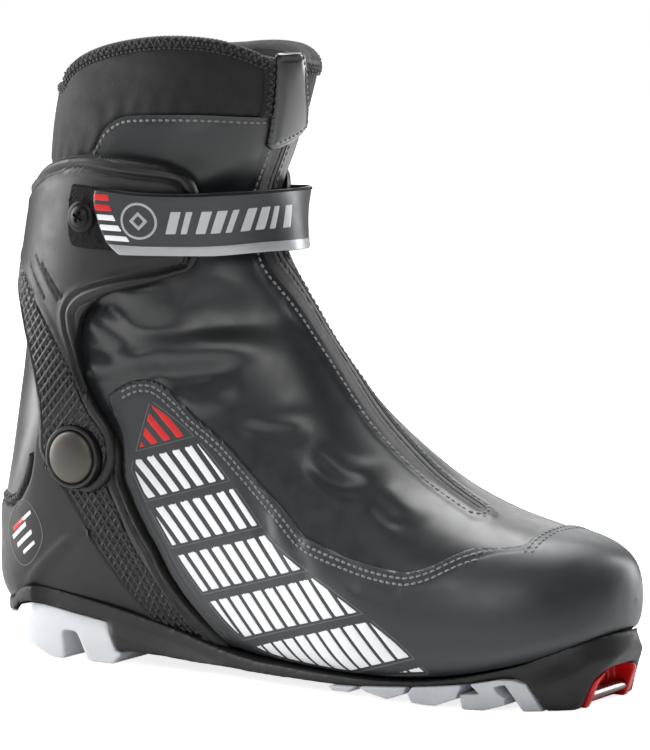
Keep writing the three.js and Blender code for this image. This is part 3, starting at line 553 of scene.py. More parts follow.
class Mat:
    def __init__(s, name):
        s.m = bpy.data.materials.new(name)
        s.m.use_nodes = True
        s.t = s.m.node_tree
        s.t.nodes.clear()
        s.out = s.n("ShaderNodeOutputMaterial")
        s.bsdf = s.n("ShaderNodeBsdfPrincipled")
        s.l(s.bsdf.outputs[0], s.out.inputs[0])
        tc = s.n("ShaderNodeTexCoord")
        s.co = s.vmath("MULTIPLY", tc.outputs["Object"], (1000, 1000, 1000))
        s.uv = s.vmath("MULTIPLY", tc.outputs["UV"], (1000, 1000, 1000))
        s.h = None

    def n(s, kind, **kw):
        x = s.t.nodes.new(kind)
        for k, v in kw.items():
            setattr(x, k, v)
        return x

    def l(s, a, b):
        s.t.links.new(a, b)

    def put(s, sock, v):
        if hasattr(v, "is_linked"):
            s.l(v, sock)
        else:
            sock.default_value = v

    def vmath(s, op, a, b):
        x = s.n("ShaderNodeVectorMath", operation=op)
        s.put(x.inputs[0], a)
        s.put(x.inputs[1], b)
        return x.outputs[0]

    def math(s, op, a, b=0.0, clamp=False):
        x = s.n("ShaderNodeMath", operation=op, use_clamp=clamp)
        s.put(x.inputs[0], a)
        s.put(x.inputs[1], b)
        return x.outputs[0]

    def noise(s, size, detail=3, rough=.5, co=None, dist=0.0):
        x = s.n("ShaderNodeTexNoise")
        s.l(co or s.co, x.inputs["Vector"])
        x.inputs["Scale"].default_value = 1.0 / size
        x.inputs["Detail"].default_value = detail
        x.inputs["Roughness"].default_value = rough
        x.inputs["Distortion"].default_value = dist
        return x.outputs[0]

    def cells(s, size, feature="F1", co=None, rand=1.0):
        x = s.n("ShaderNodeTexVoronoi", feature=feature)
        s.l(co or s.co, x.inputs["Vector"])
        x.inputs["Scale"].default_value = 1.0 / size
        x.inputs["Randomness"].default_value = rand
        return x.outputs["Distance"]

    def ramp(s, v, a, b, lo=0.0, hi=1.0):
        x = s.n("ShaderNodeMapRange", interpolation_type="SMOOTHSTEP")
        s.put(x.inputs[0], v)
        for i, k in zip((1, 2, 3, 4), (a, b, lo, hi)):
            x.inputs[i].default_value = k
        return x.outputs[0]

    def mix(s, f, a, b):
        x = s.n("ShaderNodeMix", data_type="RGBA")
        s.put(x.inputs[0], f)
        s.put(x.inputs[6], a)
        s.put(x.inputs[7], b)
        return x.outputs[2]

    def sep(s, v):
        x = s.n("ShaderNodeSeparateXYZ")
        s.l(v, x.inputs[0])
        return x.outputs

    def attr(s, name):
        x = s.n("ShaderNodeAttribute", attribute_name=name)
        return x.outputs["Fac"]

    def bump(s, height, mm, strength=1.0):
        x = s.n("ShaderNodeBump")
        x.inputs["Strength"].default_value = strength
        x.inputs["Distance"].default_value = mm / 1000.0
        s.l(height, x.inputs["Height"])
        if s.h is not None:
            s.l(s.h, x.inputs["Normal"])
        s.h = x.outputs[0]
        s.l(s.h, s.bsdf.inputs["Normal"])

    def set(s, **kw):
        for k, v in kw.items():
            s.put(s.bsdf.inputs[k.replace("_", " ")], v)
        return s


def tone(c, k):
    return tuple(min(x * k, 1) for x in c[:3]) + (1,)


def base_mat(name, col, rough, var=.12, var_size=18, rvar=.06, metal=0.0, edge=None, **kw):
    """colour with slow cloudy variation, rubbed edges where the piece has them, roughness variation"""
    m = Mat(name)
    n = m.noise(var_size, 4, .55)
    c = m.mix(m.ramp(n, .3, .7), tone(col, 1 - var), tone(col, 1 + var))
    if edge:
        width, k, rk = edge
        e = m.attr("edge")
        worn = m.math("MULTIPLY", m.ramp(e, 0.02, width, 1, 0), m.ramp(m.noise(3.5, 4, .6), .35, .65))
        worn = m.math("MULTIPLY", worn, m.ramp(e, 0.0, 0.02, 0, 1))
        c = m.mix(worn, c, tone(col, k))
    m.set(Base_Color=c, Roughness=m.ramp(m.noise(var_size * .4, 5, .6), .25, .75, rough - rvar, rough + rvar), Metallic=metal)
    m.set(**kw)
    return m


def leatherish(name, col, rough, grain=.9, mm=.05, **kw):
    m = base_mat(name, col, rough, **kw)
    m.bump(m.cells(grain, "DISTANCE_TO_EDGE", co=m.vmath("ADD", m.co, (3.1, 1.7, 5.2))), mm, .35)
    m.bump(m.noise(.45, 3, .6), mm * .8, .4)
    return m


def moulded(name, col, rough, size=.35, mm=.05, **kw):
    m = base_mat(name, col, rough, **kw)
    m.bump(m.noise(size, 3, .65), mm, .55)
    m.bump(m.noise(size * 9, 2, .5), mm * 1.4, .3)
    return m


def woven(name, col, rough, pitch=.55, mm=.08, uv=True, fuzz=.25, var=.1, sheen=.3, twill=False, **kw):
    m = base_mat(name, col, rough, var=var, **kw)
    u = m.sep(m.uv if uv else m.co)
    k = math.pi / pitch
    a, b = (m.math("ADD", u[0], u[1]), m.math("SUBTRACT", u[0], u[1])) if twill else (u[0], u[1])
    sa = m.math("SINE", m.math("MULTIPLY", a, k))
    sb = m.math("SINE", m.math("MULTIPLY", b, k))
    h = m.math("MULTIPLY", sa, sb)
    m.bump(m.math("ABSOLUTE", h), mm, .8)
    m.bump(m.noise(.3, 4, .7), mm * .7, fuzz)
    # painted shade and highlight: the weave's hollows are darkened and its raised crossings lightened in the colour
    shade = m.ramp(m.math("ABSOLUTE", h), 0, .9, .72, 1.12)
    src = m.bsdf.inputs["Base Color"].links[0].from_socket
    x = m.n("ShaderNodeMix", data_type="RGBA", blend_type="MULTIPLY")
    x.inputs[0].default_value = 1.0
    m.l(src, x.inputs[6])
    comb = m.n("ShaderNodeCombineColor")
    for i in range(3):
        m.l(shade, comb.inputs[i])
    m.l(comb.outputs[0], x.inputs[7])
    m.set(Base_Color=x.outputs[2], Sheen_Weight=sheen, Sheen_Roughness=.5)
    return m


MATS = {}


def make_materials():
    D = MATS
    D["softshell"] = leatherish("coated_softshell", hex_rgb(34, 36, 38), .36, grain=.7, mm=.03, var=.07, rvar=.05, edge=(1.2, 1.5, 0), Coat_Weight=.2, Coat_Roughness=.28).m
    D["shaft"] = D["softshell"]
    D["overlay"] = leatherish("overlay_sheet", hex_rgb(48, 51, 54), .42, grain=.55, mm=.02, var=.05, rvar=.05, edge=(1.0, 1.6, 0), Coat_Weight=.12, Coat_Roughness=.35).m
    D["medial"] = leatherish("medial_sheet", hex_rgb(84, 86, 88), .4, grain=.6, mm=.025, var=.06, rvar=.05, Coat_Weight=.15, Coat_Roughness=.3).m
    D["flap"] = leatherish("garage_sheet", hex_rgb(22, 24, 26), .2, grain=.6, mm=.012, var=.03, rvar=.05, edge=(1.0, 1.5, 0), Coat_Weight=.35, Coat_Roughness=.2).m
    D["cuff"] = moulded("cuff_plastic", hex_rgb(19, 19, 17), .46, size=.4, mm=.05, var=.07, edge=(.9, 1.6, 0)).m
    D["cuff_gloss"] = moulded("bead_plastic", hex_rgb(24, 24, 23), .36, size=.5, mm=.02, var=.07, edge=(.6, 1.7, 0)).m
    D["rubber"] = moulded("sole_rubber", hex_rgb(25, 25, 26), .55, size=.5, mm=.06, var=.12, edge=(.8, 1.5, 0)).m
    m = moulded("lug_plastic", hex_rgb(226, 229, 234), .38, size=.6, mm=.03, var=.03)
    n = m.noise(6, 5, .7)
    src = m.bsdf.inputs["Base Color"].links[0].from_socket
    scuff = m.math("MULTIPLY", m.ramp(n, .62, .78), m.ramp(m.noise(1.1, 3, .7, co=m.vmath("MULTIPLY", m.co, (.3, 1, 1))), .45, .7))
    m.set(Base_Color=m.mix(scuff, src, hex_rgb(160, 163, 167)), Subsurface_Weight=.06, Subsurface_Scale=.001)
    D["white"] = m.m
    # painted shade: a darker grey copy of the white lug plastic, for the forefoot lugs that lie in shade under the boot
    D["grey"] = moulded("grey_lug", hex_rgb(196, 199, 205), .45, size=.5, mm=.03, var=.05).m
    D["red"] = moulded("toe_red", hex_rgb(205, 14, 18), .4, size=.6, mm=.025, var=.08, edge=(.6, 1.2, 0), Coat_Weight=.08, Coat_Roughness=.25).m
    m = base_mat("polished_steel", hex_rgb(128, 124, 120), .3, var=.05, rvar=.07, metal=1.0)
    m.bump(m.noise(.5, 4, .6, co=m.vmath("MULTIPLY", m.co, (6, .25, 6))), .012, .6)
    D["steel"] = m.m
    m = base_mat("gunmetal", hex_rgb(84, 80, 76), .42, var=.08, rvar=.08, metal=.8)
    m.bump(m.noise(.35, 3, .6), .012, .5)
    D["gun"] = m.m
    D["dark_metal"] = base_mat("black_metal", hex_rgb(36, 35, 35), .38, var=.1, metal=.8).m
    D["neoprene"] = woven("collar_knit", hex_rgb(14, 14, 14), .75, pitch=.75, mm=.09, sheen=.08, var=.08, twill=True).m
    D["binding"] = woven("overlock_binding", hex_rgb(14, 14, 15), .78, pitch=.8, mm=.12, sheen=.08).m
    D["lining"] = woven("lining_knit", hex_rgb(20, 20, 21), .85, pitch=1.0, mm=.12, sheen=.15).m
    D["footbed"] = woven("footbed_felt", hex_rgb(58, 59, 62), .9, pitch=.8, mm=.1, sheen=.6, fuzz=.6).m
    D["textile"] = woven("edge_textile", hex_rgb(24, 24, 25), .8, pitch=.6, mm=.08).m
    D["tape"] = woven("zip_tape", hex_rgb(40, 40, 39), .62, pitch=.5, mm=.08, twill=True).m
    D["coil"] = moulded("zip_coil", hex_rgb(26, 26, 27), .36, size=.6, mm=.02).m
    D["strap"] = leatherish("strap_sheet", hex_rgb(48, 51, 54), .42, grain=.5, mm=.02, var=.05, edge=(.6, 1.6, 0), Coat_Weight=.1, Coat_Roughness=.3).m
    D["silver"] = leatherish("strap_silver", hex_rgb(172, 175, 178), .34, grain=.5, mm=.012, var=.04, Metallic=.25).m
    D["pile"] = woven("loop_pile", hex_rgb(6, 6, 7), .95, pitch=.9, mm=.4, sheen=.0, fuzz=1.0).m
    D["thread"] = woven("thread", hex_rgb(128, 130, 133), .6, pitch=.3, mm=.05, uv=False, sheen=.2).m
    D["thread_dark"] = woven("thread_dark", hex_rgb(46, 46, 48), .7, pitch=.3, mm=.05, uv=False, sheen=.2).m
    D["print_white"] = moulded("print_white", hex_rgb(244, 245, 247), .45, size=.5, mm=.012, var=.02).m
    D["print_red"] = moulded("print_red", hex_rgb(214, 26, 28), .42, size=.5, mm=.012, var=.04).m
    D["print_silver"] = moulded("print_silver", hex_rgb(188, 190, 193), .4, size=.5, mm=.012, var=.03).m
    D["print_line"] = moulded("print_grey", hex_rgb(96, 99, 102), .45, size=.5, mm=.012, var=.04).m
    D["foam"] = woven("sock_felt", hex_rgb(40, 40, 42), .95, pitch=1.1, mm=.15, uv=False, sheen=.5, fuzz=.8).m
    D["board"] = base_mat("fibre_board", hex_rgb(150, 138, 118), .85, var=.15, var_size=4).m


make_materials()

# ---------------------------------------------------------------- outlines in side view (x, z) of the layout
SOLE_TOP = [[-8, 19], [8, 20], [16, 22], [21, 27], [29.5, 29.5], [46, 27.7], [67, 24.3], [87.5, 20.3], [109, 15.7], [120, 13.1], [142, 9.6], [163.5, 8.7], [184.5, 8.2], [204, 8.2], [222, 8.9], [239, 10.8], [255, 14], [270, 17.9], [279, 21.8], [288, 25.7], [296, 28.7], [306, 30]]
COUNTER_FRONT = [[78.2, 97], [78.8, 91.7], [78.8, 83], [79.7, 77.8], [81.5, 74], [85.2, 66], [90.5, 57], [95.1, 51], [100.7, 42], [108.9, 32.5], [119.6, 22.5], [127.9, 14.6], [134, 7]]
OVERLAY_TOP = [[72, 113.4], [76.9, 117.1], [83, 120.3], [89, 121.6], [95, 121], [100.7, 117.9], [106.5, 113.3], [113.3, 107.4], [122.2, 101.6], [131.4, 95.2], [141, 87.2], [150.9, 79.3], [160.8, 72.1], [166.9, 66.9], [170.9, 63.7], [176.6, 61.3], [185.9, 58.6], [194.9, 56.2], [206.7, 53.7], [219.2, 52.4], [224.9, 53.1], [231.3, 55.5], [236.9, 58.7], [242.6, 61.5], [250.1, 64], [257.7, 66.6]]
CUFF_UP = [[-20, 188], [15, 190.5], [25.9, 195.3], [31, 199.5], [37.9, 203.5], [45.2, 208.8], [52.5, 212.1], [62.2, 213.9], [71.3, 214.6], [83.8, 214.3], [94.7, 213.3], [103.3, 211.8], [108.9, 209.9], [112.5, 207], [114, 203.7], [114.4, 197], [113.3, 184.6], [112.1, 176.3], [110.8, 171], [107.7, 167.1], [100.6, 164.6], [92.8, 162.4], [84.1, 159.7], [74.7, 156], [68.7, 152], [63.6, 145.8], [61.6, 137], [62.9, 124.5], [66.3, 115.9], [70.4, 108.8], [73.5, 104.7], [76.7, 99.5], [77.9, 92.3], [77.5, 86], [74.9, 80], [70.2, 75.3], [65, 73], [59.9, 74.0], [54.8, 75.6], [49.2, 79.2], [43.5, 84.7], [41, 91], [41.4, 100], [41, 110.9], [38.1, 123.3], [33, 136], [27.5, 148], [21, 157], [12, 162], [-20, 163.5]]
COLLAR_LOW = [[-20, 206], [45, 210], [60, 212.8], [68, 216.5], [70.1, 219.6], [74.5, 225.5], [82.1, 230], [91.5, 231.4], [116.9, 231.8], [132.6, 230.9], [139.8, 230.7], [175, 231.5]]
RIM = [[-20, 243], [31, 243.5], [44.8, 244.6], [47.2, 248.1], [57.9, 254.4], [73.1, 259.4], [91.7, 262.7], [108.2, 263.8], [122.7, 262.9], [131.1, 260.9], [137.7, 258], [141.5, 255.5], [150, 253.5], [175, 252]]
TEX_BACK = [[41.2, 84.2], [47.8, 78.7], [53.4, 70.9], [59.4, 61.5], [65.6, 50.6], [73.3, 40.6], [82.7, 29.7], [91.1, 21.3], [99.2, 15.9], [109.2, 11.1], [116, 7]]
CUFF_TOP_IN = [[-20, 178], [15, 186], [27.8, 194.4], [40.2, 201.9], [52.8, 207.1], [66.9, 209.3], [86.2, 207.0], [105.8, 205.3], [109.1, 201.8], [110.1, 197.1], [109.8, 186.7], [108.6, 178.4], [106.9, 171.3]]
CUFF_LOW_IN = [[106.9, 170.4], [97.1, 167.9], [84.3, 164.3], [72.4, 160.9], [64.8, 158.1], [59.4, 154.1], [56.6, 148.9], [57.1, 141.4], [58.6, 136.5], [60.2, 131], [61.6, 124.5], [64.8, 116.5]]
CUFF_TEX = [[16, 174], [22.5, 168.7], [32.3, 161.6], [40.9, 151.3], [47.9, 142.5], [53.9, 133.4], [59.8, 122.8], [63.4, 113.0], [67.5, 105.5]]
RIDGE = [[22, 27], [24.2, 30.8], [30.0, 36.0], [34.3, 40.0], [44.6, 48.3], [50.4, 52.6], [55.8, 54.3], [62.5, 54.6]]


def xz(P):
    return P[:, [0, 2]]


def zline(pts, k=5):
    L = smooth_line(pts, k)
    return lambda x: np.interp(x, L[:, 0], L[:, 1])


sole_top = zline(SOLE_TOP)
collar_low = zline(COLLAR_LOW)
rim_z = zline(RIM)


def rim_at(P):
    """height of the collar's edge, a little lower on the medial side"""
    return rim_z(P[:, 0]) - 2.8 * sstep(P[:, 1], -8, 22) * sstep(P[:, 0], 62, 96)

# zip centre line: v against u
ZV = np.array([[5.9, .918], [6.1, 0.925], [6.7, 0.945], [7.5, 0.962], [8.4, 0.977], [9.3, 0.996], [10.1, 1.002], [11.2, 0.998], [12.5, 0.98], [13.3, 0.984], [14.8, 0.992], [17, 1.005], [18.6, 0.99], [20, 0.985], [22, .985]])
_zs = smooth_line(ZV, 8)


def zv(u):
    return np.interp(u, _zs[:, 0], _zs[:, 1])


_u = np.linspace(4, 22, 400)
_g = np.linalg.norm(LAST.at(_u, zv(_u) + .01) - LAST.at(_u, zv(_u) - .01), axis=1) / .02


def zip_s(u, v):
    """signed distance in mm from the zip's centre line, lateral side negative"""
    return (v - zv(u)) * np.interp(u, _u, _g)


ZIP_END = 6.15


def zip_end(u):
    return (u - ZIP_END) * 23.0


# folds of the soft sheet: (side-view line, half-width mm, height mm), found on the lateral flank
FOLDS = [
    ([[54, 152], [65.4, 146.4], [74.7, 140.5], [85.6, 134.5], [98.7, 133.3], [113.8, 134.6], [130.4, 136.7], [150, 140]], 10, 3.0),
    ([[60, 127], [74, 126.6], [83.2, 128.4], [98, 127.4]], 8, 2.4),
    ([[88, 122], [98.9, 122.3], [114.3, 123.8], [134, 126.1]], 8, -1.6),
    ([[98, 110.5], [105.9, 112], [117.2, 114.2], [134, 117.4]], 8, 1.1),
    ([[58, 157], [70.6, 154.2], [86, 150]], 7.5, -2.0),
    ([[78, 163], [88, 158.5], [95, 152], [98, 143]], 11, 1.5),
    ([[108, 158], [114, 153.5], [122, 150.4], [136, 147], [154, 143.2]], 14, -1.7),
    ([[130, 108], [151.5, 108], [170, 109.6]], 6.5, .7),
    ([[134, 104.3], [148.9, 101.6], [168, 102.3]], 6, -1.1),
    ([[168, 97], [185.8, 89.8], [200, 88.8]], 6, .8),
    ([[166.5, 94], [176.4, 86.4], [185.9, 83.0], [199, 83.6]], 5.5, -1.2),
    ([[200, 83], [213, 75.4], [224, 72.0]], 6, .7),
    ([[197.6, 81], [206.8, 73.2], [217.9, 69.4]], 5, -.9),
    ([[118, 236], [114, 222], [113, 206]], 9, -.7),
]
FOLD_LINES = [(smooth_line(l, 4), w, h) for l, w, h in FOLDS]


def folds(P, N):
    p = xz(P)
    side = sstep(np.abs(N[:, 1]), .25, .7)
    flip = np.where(N[:, 1] < 0, 1.0, -.7)
    d = np.zeros(len(P))
    for l, w, h in FOLD_LINES:
        m = (p[:, 0] > l[:, 0].min() - w) & (p[:, 0] < l[:, 0].max() + w) & (p[:, 1] > l[:, 1].min() - w) & (p[:, 1] < l[:, 1].max() + w)
        if m.any():
            q, t = line_dist(p[m], l)
            n = float(np.linalg.norm(np.diff(l, axis=0), axis=1).sum())
            t = t * (n if t.max() <= 1.001 else 1)
            d[m] += h * bump(q, 0, w) * flip[m] * sstep(t, -2, .22 * n) * sstep(n - t, 0, .35 * n)
    return d * side


def soft_relief(P, N, a):
    """gentle unevenness, stronger round the ankle's bend; None of it near the toe"""
    k = sstep(a, 5.5, 9)
    bend = bump(np.hypot(P[:, 0] - PIVOT[0], P[:, 2] - PIVOT[1]), 62, 45) * sstep(np.arctan2(P[:, 2] - 88, P[:, 0] - 59.3), -.6, .3)
    n1 = vnoise(P * np.array([1, .6, 1]), 24, 1)
    n2 = vnoise(P * np.array([1.3, 1, .8]), 11, 2)
    return k * (.26 * n1 + .1 * n2 * (.3 + bend)) + folds(P, N)


def upper_low(P):
    """how far above the sole's top line"""
    return P[:, 2] - sole_top(P[:, 0])


# ---------------------------------------------------------------- soft upper: one sheet from sole to collar, over the ankle
def band_sd(a, b):
    """distance outside the zip's open band; the band reaches further to the lateral side"""
    s = zip_s(a, b)
    wl = np.interp(a, [6.2, 8.5, 12, 17], [4.0, 5.8, 6.6, 6.0])
    w = np.where(s < 0, wl, 3.5)
    q = np.where(zip_end(a) > 0, np.abs(s) - w, np.hypot(np.minimum(zip_end(a), 0), s * 3.6 / w) - 3.6)
    return q


def soft_fn(P, N, a, b):
    z1 = collar_low(P[:, 0]) - P[:, 2]
    lo = upper_low(P) + 6.0
    return np.minimum(np.minimum(z1, lo), band_sd(a, b))


def lip(P, a, b):
    q = band_sd(a, b)
    return .7 * sstep(q, 6.2, 2.6) - .3 * bump(q, 2.5, .9)


def make_softshell():
    R = cut(LAST, (1.5, 21.4), (0, 2), 1.5, soft_fn)
    a, b, F, sd = R
    P, N = LAST.read(a, b)
    edge = np.minimum(collar_low(P[:, 0]) - P[:, 2], 30)
    out = soft_relief(P, N, a) * sstep(np.minimum(edge, sd), 0, 8) + lip(P, a, b)
    # the sheet runs flat and tight beneath the overlay and behind the cuff
    tight = sstep(poly_sd(xz(P), OVERLAY_P), -3, 2)
    out = out * (1 - tight) + (-.05) * tight
    under = sstep(poly_sd(xz(P), CUFF_P), -4, 3)
    out = out * (1 - under) - .3 * under
    out -= .25 * bump(edge, 2.0, .7)
    ob = piece("softshell", closed(LAST, R, out * 1.0, out - 1.6), MATS["softshell"], None, "softshell")
    flexes(ob)
    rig.replaces(ob, "vamp_softshell", "shaft_softshell")
    return ob


def overlay_poly():
    up = smooth_line(OVERLAY_TOP, 5)
    up = np.concatenate([up, [[264, 68.6], [266, 95], [335, 95], [335, -5]]], 0)
    cf = smooth_line([[x + .9, z] for x, z in COUNTER_FRONT if z < 103], 4)[::-1]
    return np.concatenate([up, cf], 0)


OVERLAY_P = overlay_poly()
CUFF_P = smooth_line(CUFF_UP[1:-1], 4)
CUFF_P = np.concatenate([[[-30, 188]], CUFF_P, [[-30, 163.5]]], 0)
ov_line = smooth_line(OVERLAY_TOP, 5)


def toe_line_sd(P, N):
    """toe cap edge over the instep: on top of the foot the overlay begins ahead of a slanted line"""
    return P[:, 0] - (262.5 + .03 * P[:, 1])


def overlay_fn(P, N, a, b):
    p = xz(P)
    s = poly_sd(p, OVERLAY_P)
    top = sstep(N[:, 2], .75, .92)
    s = s * (1 - top) + np.minimum(toe_line_sd(P, N), 30) * top
    return np.minimum(s, upper_low(P) + 3.0)


def make_overlay():
    R = cut(LAST, (0.0006, 15.2), (0, 2), 1.15, overlay_fn)
    a, b, F, sd = R
    P, N = LAST.read(a, b)
    lowgap = upper_low(P) + 3.0
    top = np.where(lowgap < sd + .5, 30, sd)
    arch = folds_arch(P, N)
    prof = round_edge(np.minimum(top, sd + 0 * top), 1.0)
    groove = .24 * (bump(top, 2.3, .9) + bump(top, 4.7, .9))
    out = .25 + .95 * prof - groove + arch
    # a soft pinch line where the sheet turns under to the sole
    out -= .7 * (1 - sstep(upper_low(P), .4, 2.6))
    ob = piece("quarter_overlay_sheet", closed(LAST, R, out, np.full(len(a), -.3)), MATS["overlay"], "boot", "overlay")
    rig.replaces(ob, "quarter_overlay")
    # the very tip of the toe is closed by a small smooth cap
    v = np.linspace(0, 2, 41)[:-1]
    Q = LAST.read(np.full(40, .0006), v)[0].mean(0)
    rad, x = [], []
    for u in (.12, .2, .3, .45):
        T = LAST.read(np.full(40, u), v)[0]
        rad.append(np.hypot(T[:, 1] - Q[1], T[:, 2] - Q[2]).mean()); x.append(T[:, 0].mean())
    rr = np.array([0, .35, .7, 1.05, 1.4, 1.75, 2.0])
    lift = np.interp(rr, [0] + rad, [Q[0]] + x) + 1.2 + np.array([.05, .05, .045, .03, 0, -.08, -.3])
    V, F = [(lift[0], Q[1], Q[2])], []
    for r, h in list(zip(rr[1:], lift[1:])) + [(1.6, Q[0] + .4)]:
        V += [(h, Q[1] + r * math.cos(t), Q[2] + r * math.sin(t)) for t in np.arange(24) * math.pi / 12]
    V.append((Q[0] + .4, Q[1], Q[2]))
    for k in range(24):
        F.append((0, 1 + k, 1 + (k + 1) % 24))
        for j in range(6):
            a, b = 1 + j * 24 + k, 1 + j * 24 + (k + 1) % 24
            F += [(a, a + 24, b + 24), (a, b + 24, b)]
        F.append((1 + 144 + (k + 1) % 24, 1 + 144 + k, len(V) - 1))
    V = np.array(V)
    piece("toe_tip_cap", (V, np.array(F), np.zeros((len(V), 2)), np.full(len(V), 5.0)), MATS["overlay"], "boot", "overlay")
    return ob


ARCH = [([[176, 58], [184, 49], [196, 44]], 8, .9), ([[192, 55], [203, 48], [216, 46]], 7, -.8), ([[158, 68], [163, 60], [170, 52]], 6, .6), ([[141, 83], [146, 74], [152, 64]], 7, -.5), ([[214, 50], [226, 46], [238, 50]], 6, .5)]
ARCH_LINES = [(smooth_line(l, 4), w, h) for l, w, h in ARCH]


def folds_arch(P, N):
    p = xz(P)
    side = sstep(np.abs(N[:, 1]), .2, .6)
    d = np.zeros(len(P))
    for l, w, h in ARCH_LINES:
        q, _ = line_dist(p, l)
        d += h * bump(q, 0, w)
    return d * side + .22 * vnoise(P, 22, 5)


# ---------------------------------------------------------------- stitching
def capsule(L=2.1, r=.45, flat=.7):
    """one stitch, along x, resting on z=0"""
    V, F = [], []
    xs = np.array([-1, -.86, -.5, 0, .5, .86, 1]) * L / 2
    rs = np.array([.05, .62, .95, 1, .95, .62, .05]) * r
    n = 6
    for x, q in zip(xs, rs):
        for k in range(n):
            t = 2 * math.pi * k / n
            V.append((x, q * math.cos(t), q * math.sin(t) * flat + .12 * (1 - (x / (L / 2)) ** 2)))
    for i in range(len(xs) - 1):
        for k in range(n):
            F.append((i * n + k, i * n + (k + 1) % n, (i + 1) * n + (k + 1) % n))
            F.append((i * n + k, (i + 1) * n + (k + 1) % n, (i + 1) * n + k))
    for k in range(1, n - 1):
        F.append((0, k + 1, k))
        e = (len(xs) - 1) * n
        F.append((e, e + k, e + k + 1))
    return np.array(V), np.array(F)


CAPS = capsule(2.1, .54, .72)


def stitch_along(P, N, pitch=2.9, lift=.0, L=2.1, cap=None):
    """P, N: a dense curve with normals; stitches at equal pitch"""
    V0, F0 = cap or CAPS
    V0 = V0 * np.array([L / 2.1, 1, 1])
    d = np.r_[0, np.cumsum(np.linalg.norm(np.diff(P, axis=0), axis=1))]
    n = int(d[-1] / pitch)
    if n < 1:
        return None
    s = (np.arange(n) + .5) * d[-1] / n
    C = np.stack([np.interp(s, d, P[:, k]) for k in range(3)], 1)
    Nn = np.stack([np.interp(s, d, N[:, k]) for k in range(3)], 1)
    T = np.stack([np.interp(s + .4, d, P[:, k]) - np.interp(s - .4, d, P[:, k]) for k in range(3)], 1)
    T /= np.maximum(np.linalg.norm(T, axis=1, keepdims=True), 1e-9)
    Nn -= T * (Nn * T).sum(1, keepdims=True)
    Nn /= np.maximum(np.linalg.norm(Nn, axis=1, keepdims=True), 1e-9)
    B = np.cross(Nn, T)
    V = C[:, None] + T[:, None] * V0[None, :, :1] + B[:, None] * V0[None, :, 1:2] + Nn[:, None] * (V0[None, :, 2:3] + lift)
    k = len(V0)
    F = (F0[None] + (np.arange(n) * k)[:, None, None]).reshape(-1, 3)
    V = V.reshape(-1, 3)
    return V, F, np.zeros((len(V), 2)), np.ones(len(V))


def surface_tree(ob):
    me = ob.data
    V = np.zeros(len(me.vertices) * 3)
    me.vertices.foreach_get("co", V)
    V = V.reshape(-1, 3) * 1000 + ORIGIN
    return BVHTree.FromPolygons([tuple(x) for x in V], [tuple(p.vertices) for p in me.polygons])


def drop_side(tree, p, side=-1, reach=120):
    """side-view points onto a surface from the lateral (-1) or medial (1) side"""
    P, N, ok = [], [], []
    for x, z in p:
        h = tree.ray_cast(Vector((x, side * reach, z)), Vector((0, -side, 0)))
        if h[0] is None:
            ok.append(False)
            P.append((x, 0, z)); N.append((0, side, 0))
        else:
            ok.append(True)
            n = h[1] if h[1].y * side > 0 else -h[1]
            P.append(tuple(h[0])); N.append(tuple(n))
    return np.array(P), np.array(N), np.array(ok)


def offset_line(L, d):
    t = np.gradient(L, axis=0)
    t /= np.maximum(np.linalg.norm(t, axis=1, keepdims=True), 1e-9)
    return L + np.stack([-t[:, 1], t[:, 0]], 1) * d


def smooth_arr(A, k=3):
    for _ in range(k):
        A = np.concatenate([A[:1], (A[:-2] + 2 * A[1:-1] + A[2:]) / 4, A[-1:]], 0)
    return A


def side_stitches(tree, line, side=-1, pitch=2.9, lift=.05, L=2.1):
    P, N, ok = drop_side(tree, line, side)
    if not ok.any():
        return None
    P, N = P[ok], N[ok]
    jump = np.r_[False, np.linalg.norm(np.diff(P, axis=0), axis=1) > 8]
    if jump.any():
        k = int(np.argmax(jump))
        P, N = (P[:k], N[:k]) if k > len(P) / 2 else (P[k:], N[k:])
    return stitch_along(P, smooth_arr(N, 6), pitch, lift, L)


def uv_stitches(us, vs, d, pitch=2.9, lift=.05, L=2.1):
    P, N = LAST.read(us, vs)
    P = P + N * np.asarray(d)[..., None] if np.ndim(d) else P + N * d
    return stitch_along(P, N, pitch, lift, L)


# ---------------------------------------------------------------- heel counter
def counter_poly():
    ear = [[PIVOT[0] + r * math.cos(math.radians(t)), PIVOT[1] + r * math.sin(math.radians(t))] for t, r in [(t, 19.6 + 4.4 * float(sstep(np.array([t]), 110, 160)[0])) for t in range(176, 30, -8)]]
    front = smooth_line([[77.3, 96.5]] + COUNTER_FRONT[1:], 4)
    rear = smooth_line([[-30, 64.3], [5, 64.3], [17.4, 64.3], [23.5, 65.4], [27.9, 69.6], [32.4, 76.5], [34.6, 84]], 4)
    return np.concatenate([rear, ear, front, [[134, -5], [-30, -5]]], 0)


COUNTER_P = counter_poly()
cf_line = smooth_line(COUNTER_FRONT, 5)
TEX_FRONT = [[70.5, 80], [72.7, 74.8], [77.1, 65.3], [83.2, 52.7], [92.5, 40.6], [102.1, 30.0], [113.2, 21.3], [121.3, 14.6], [127, 10]]
tb_line, tf_line = smooth_line(TEX_BACK, 4), smooth_line(TEX_FRONT, 4)
CTEX_P = np.concatenate([tb_line, tf_line[::-1], [[62, 84.5], [52, 82.5]]], 0)
ridge_line = smooth_line(RIDGE, 5)


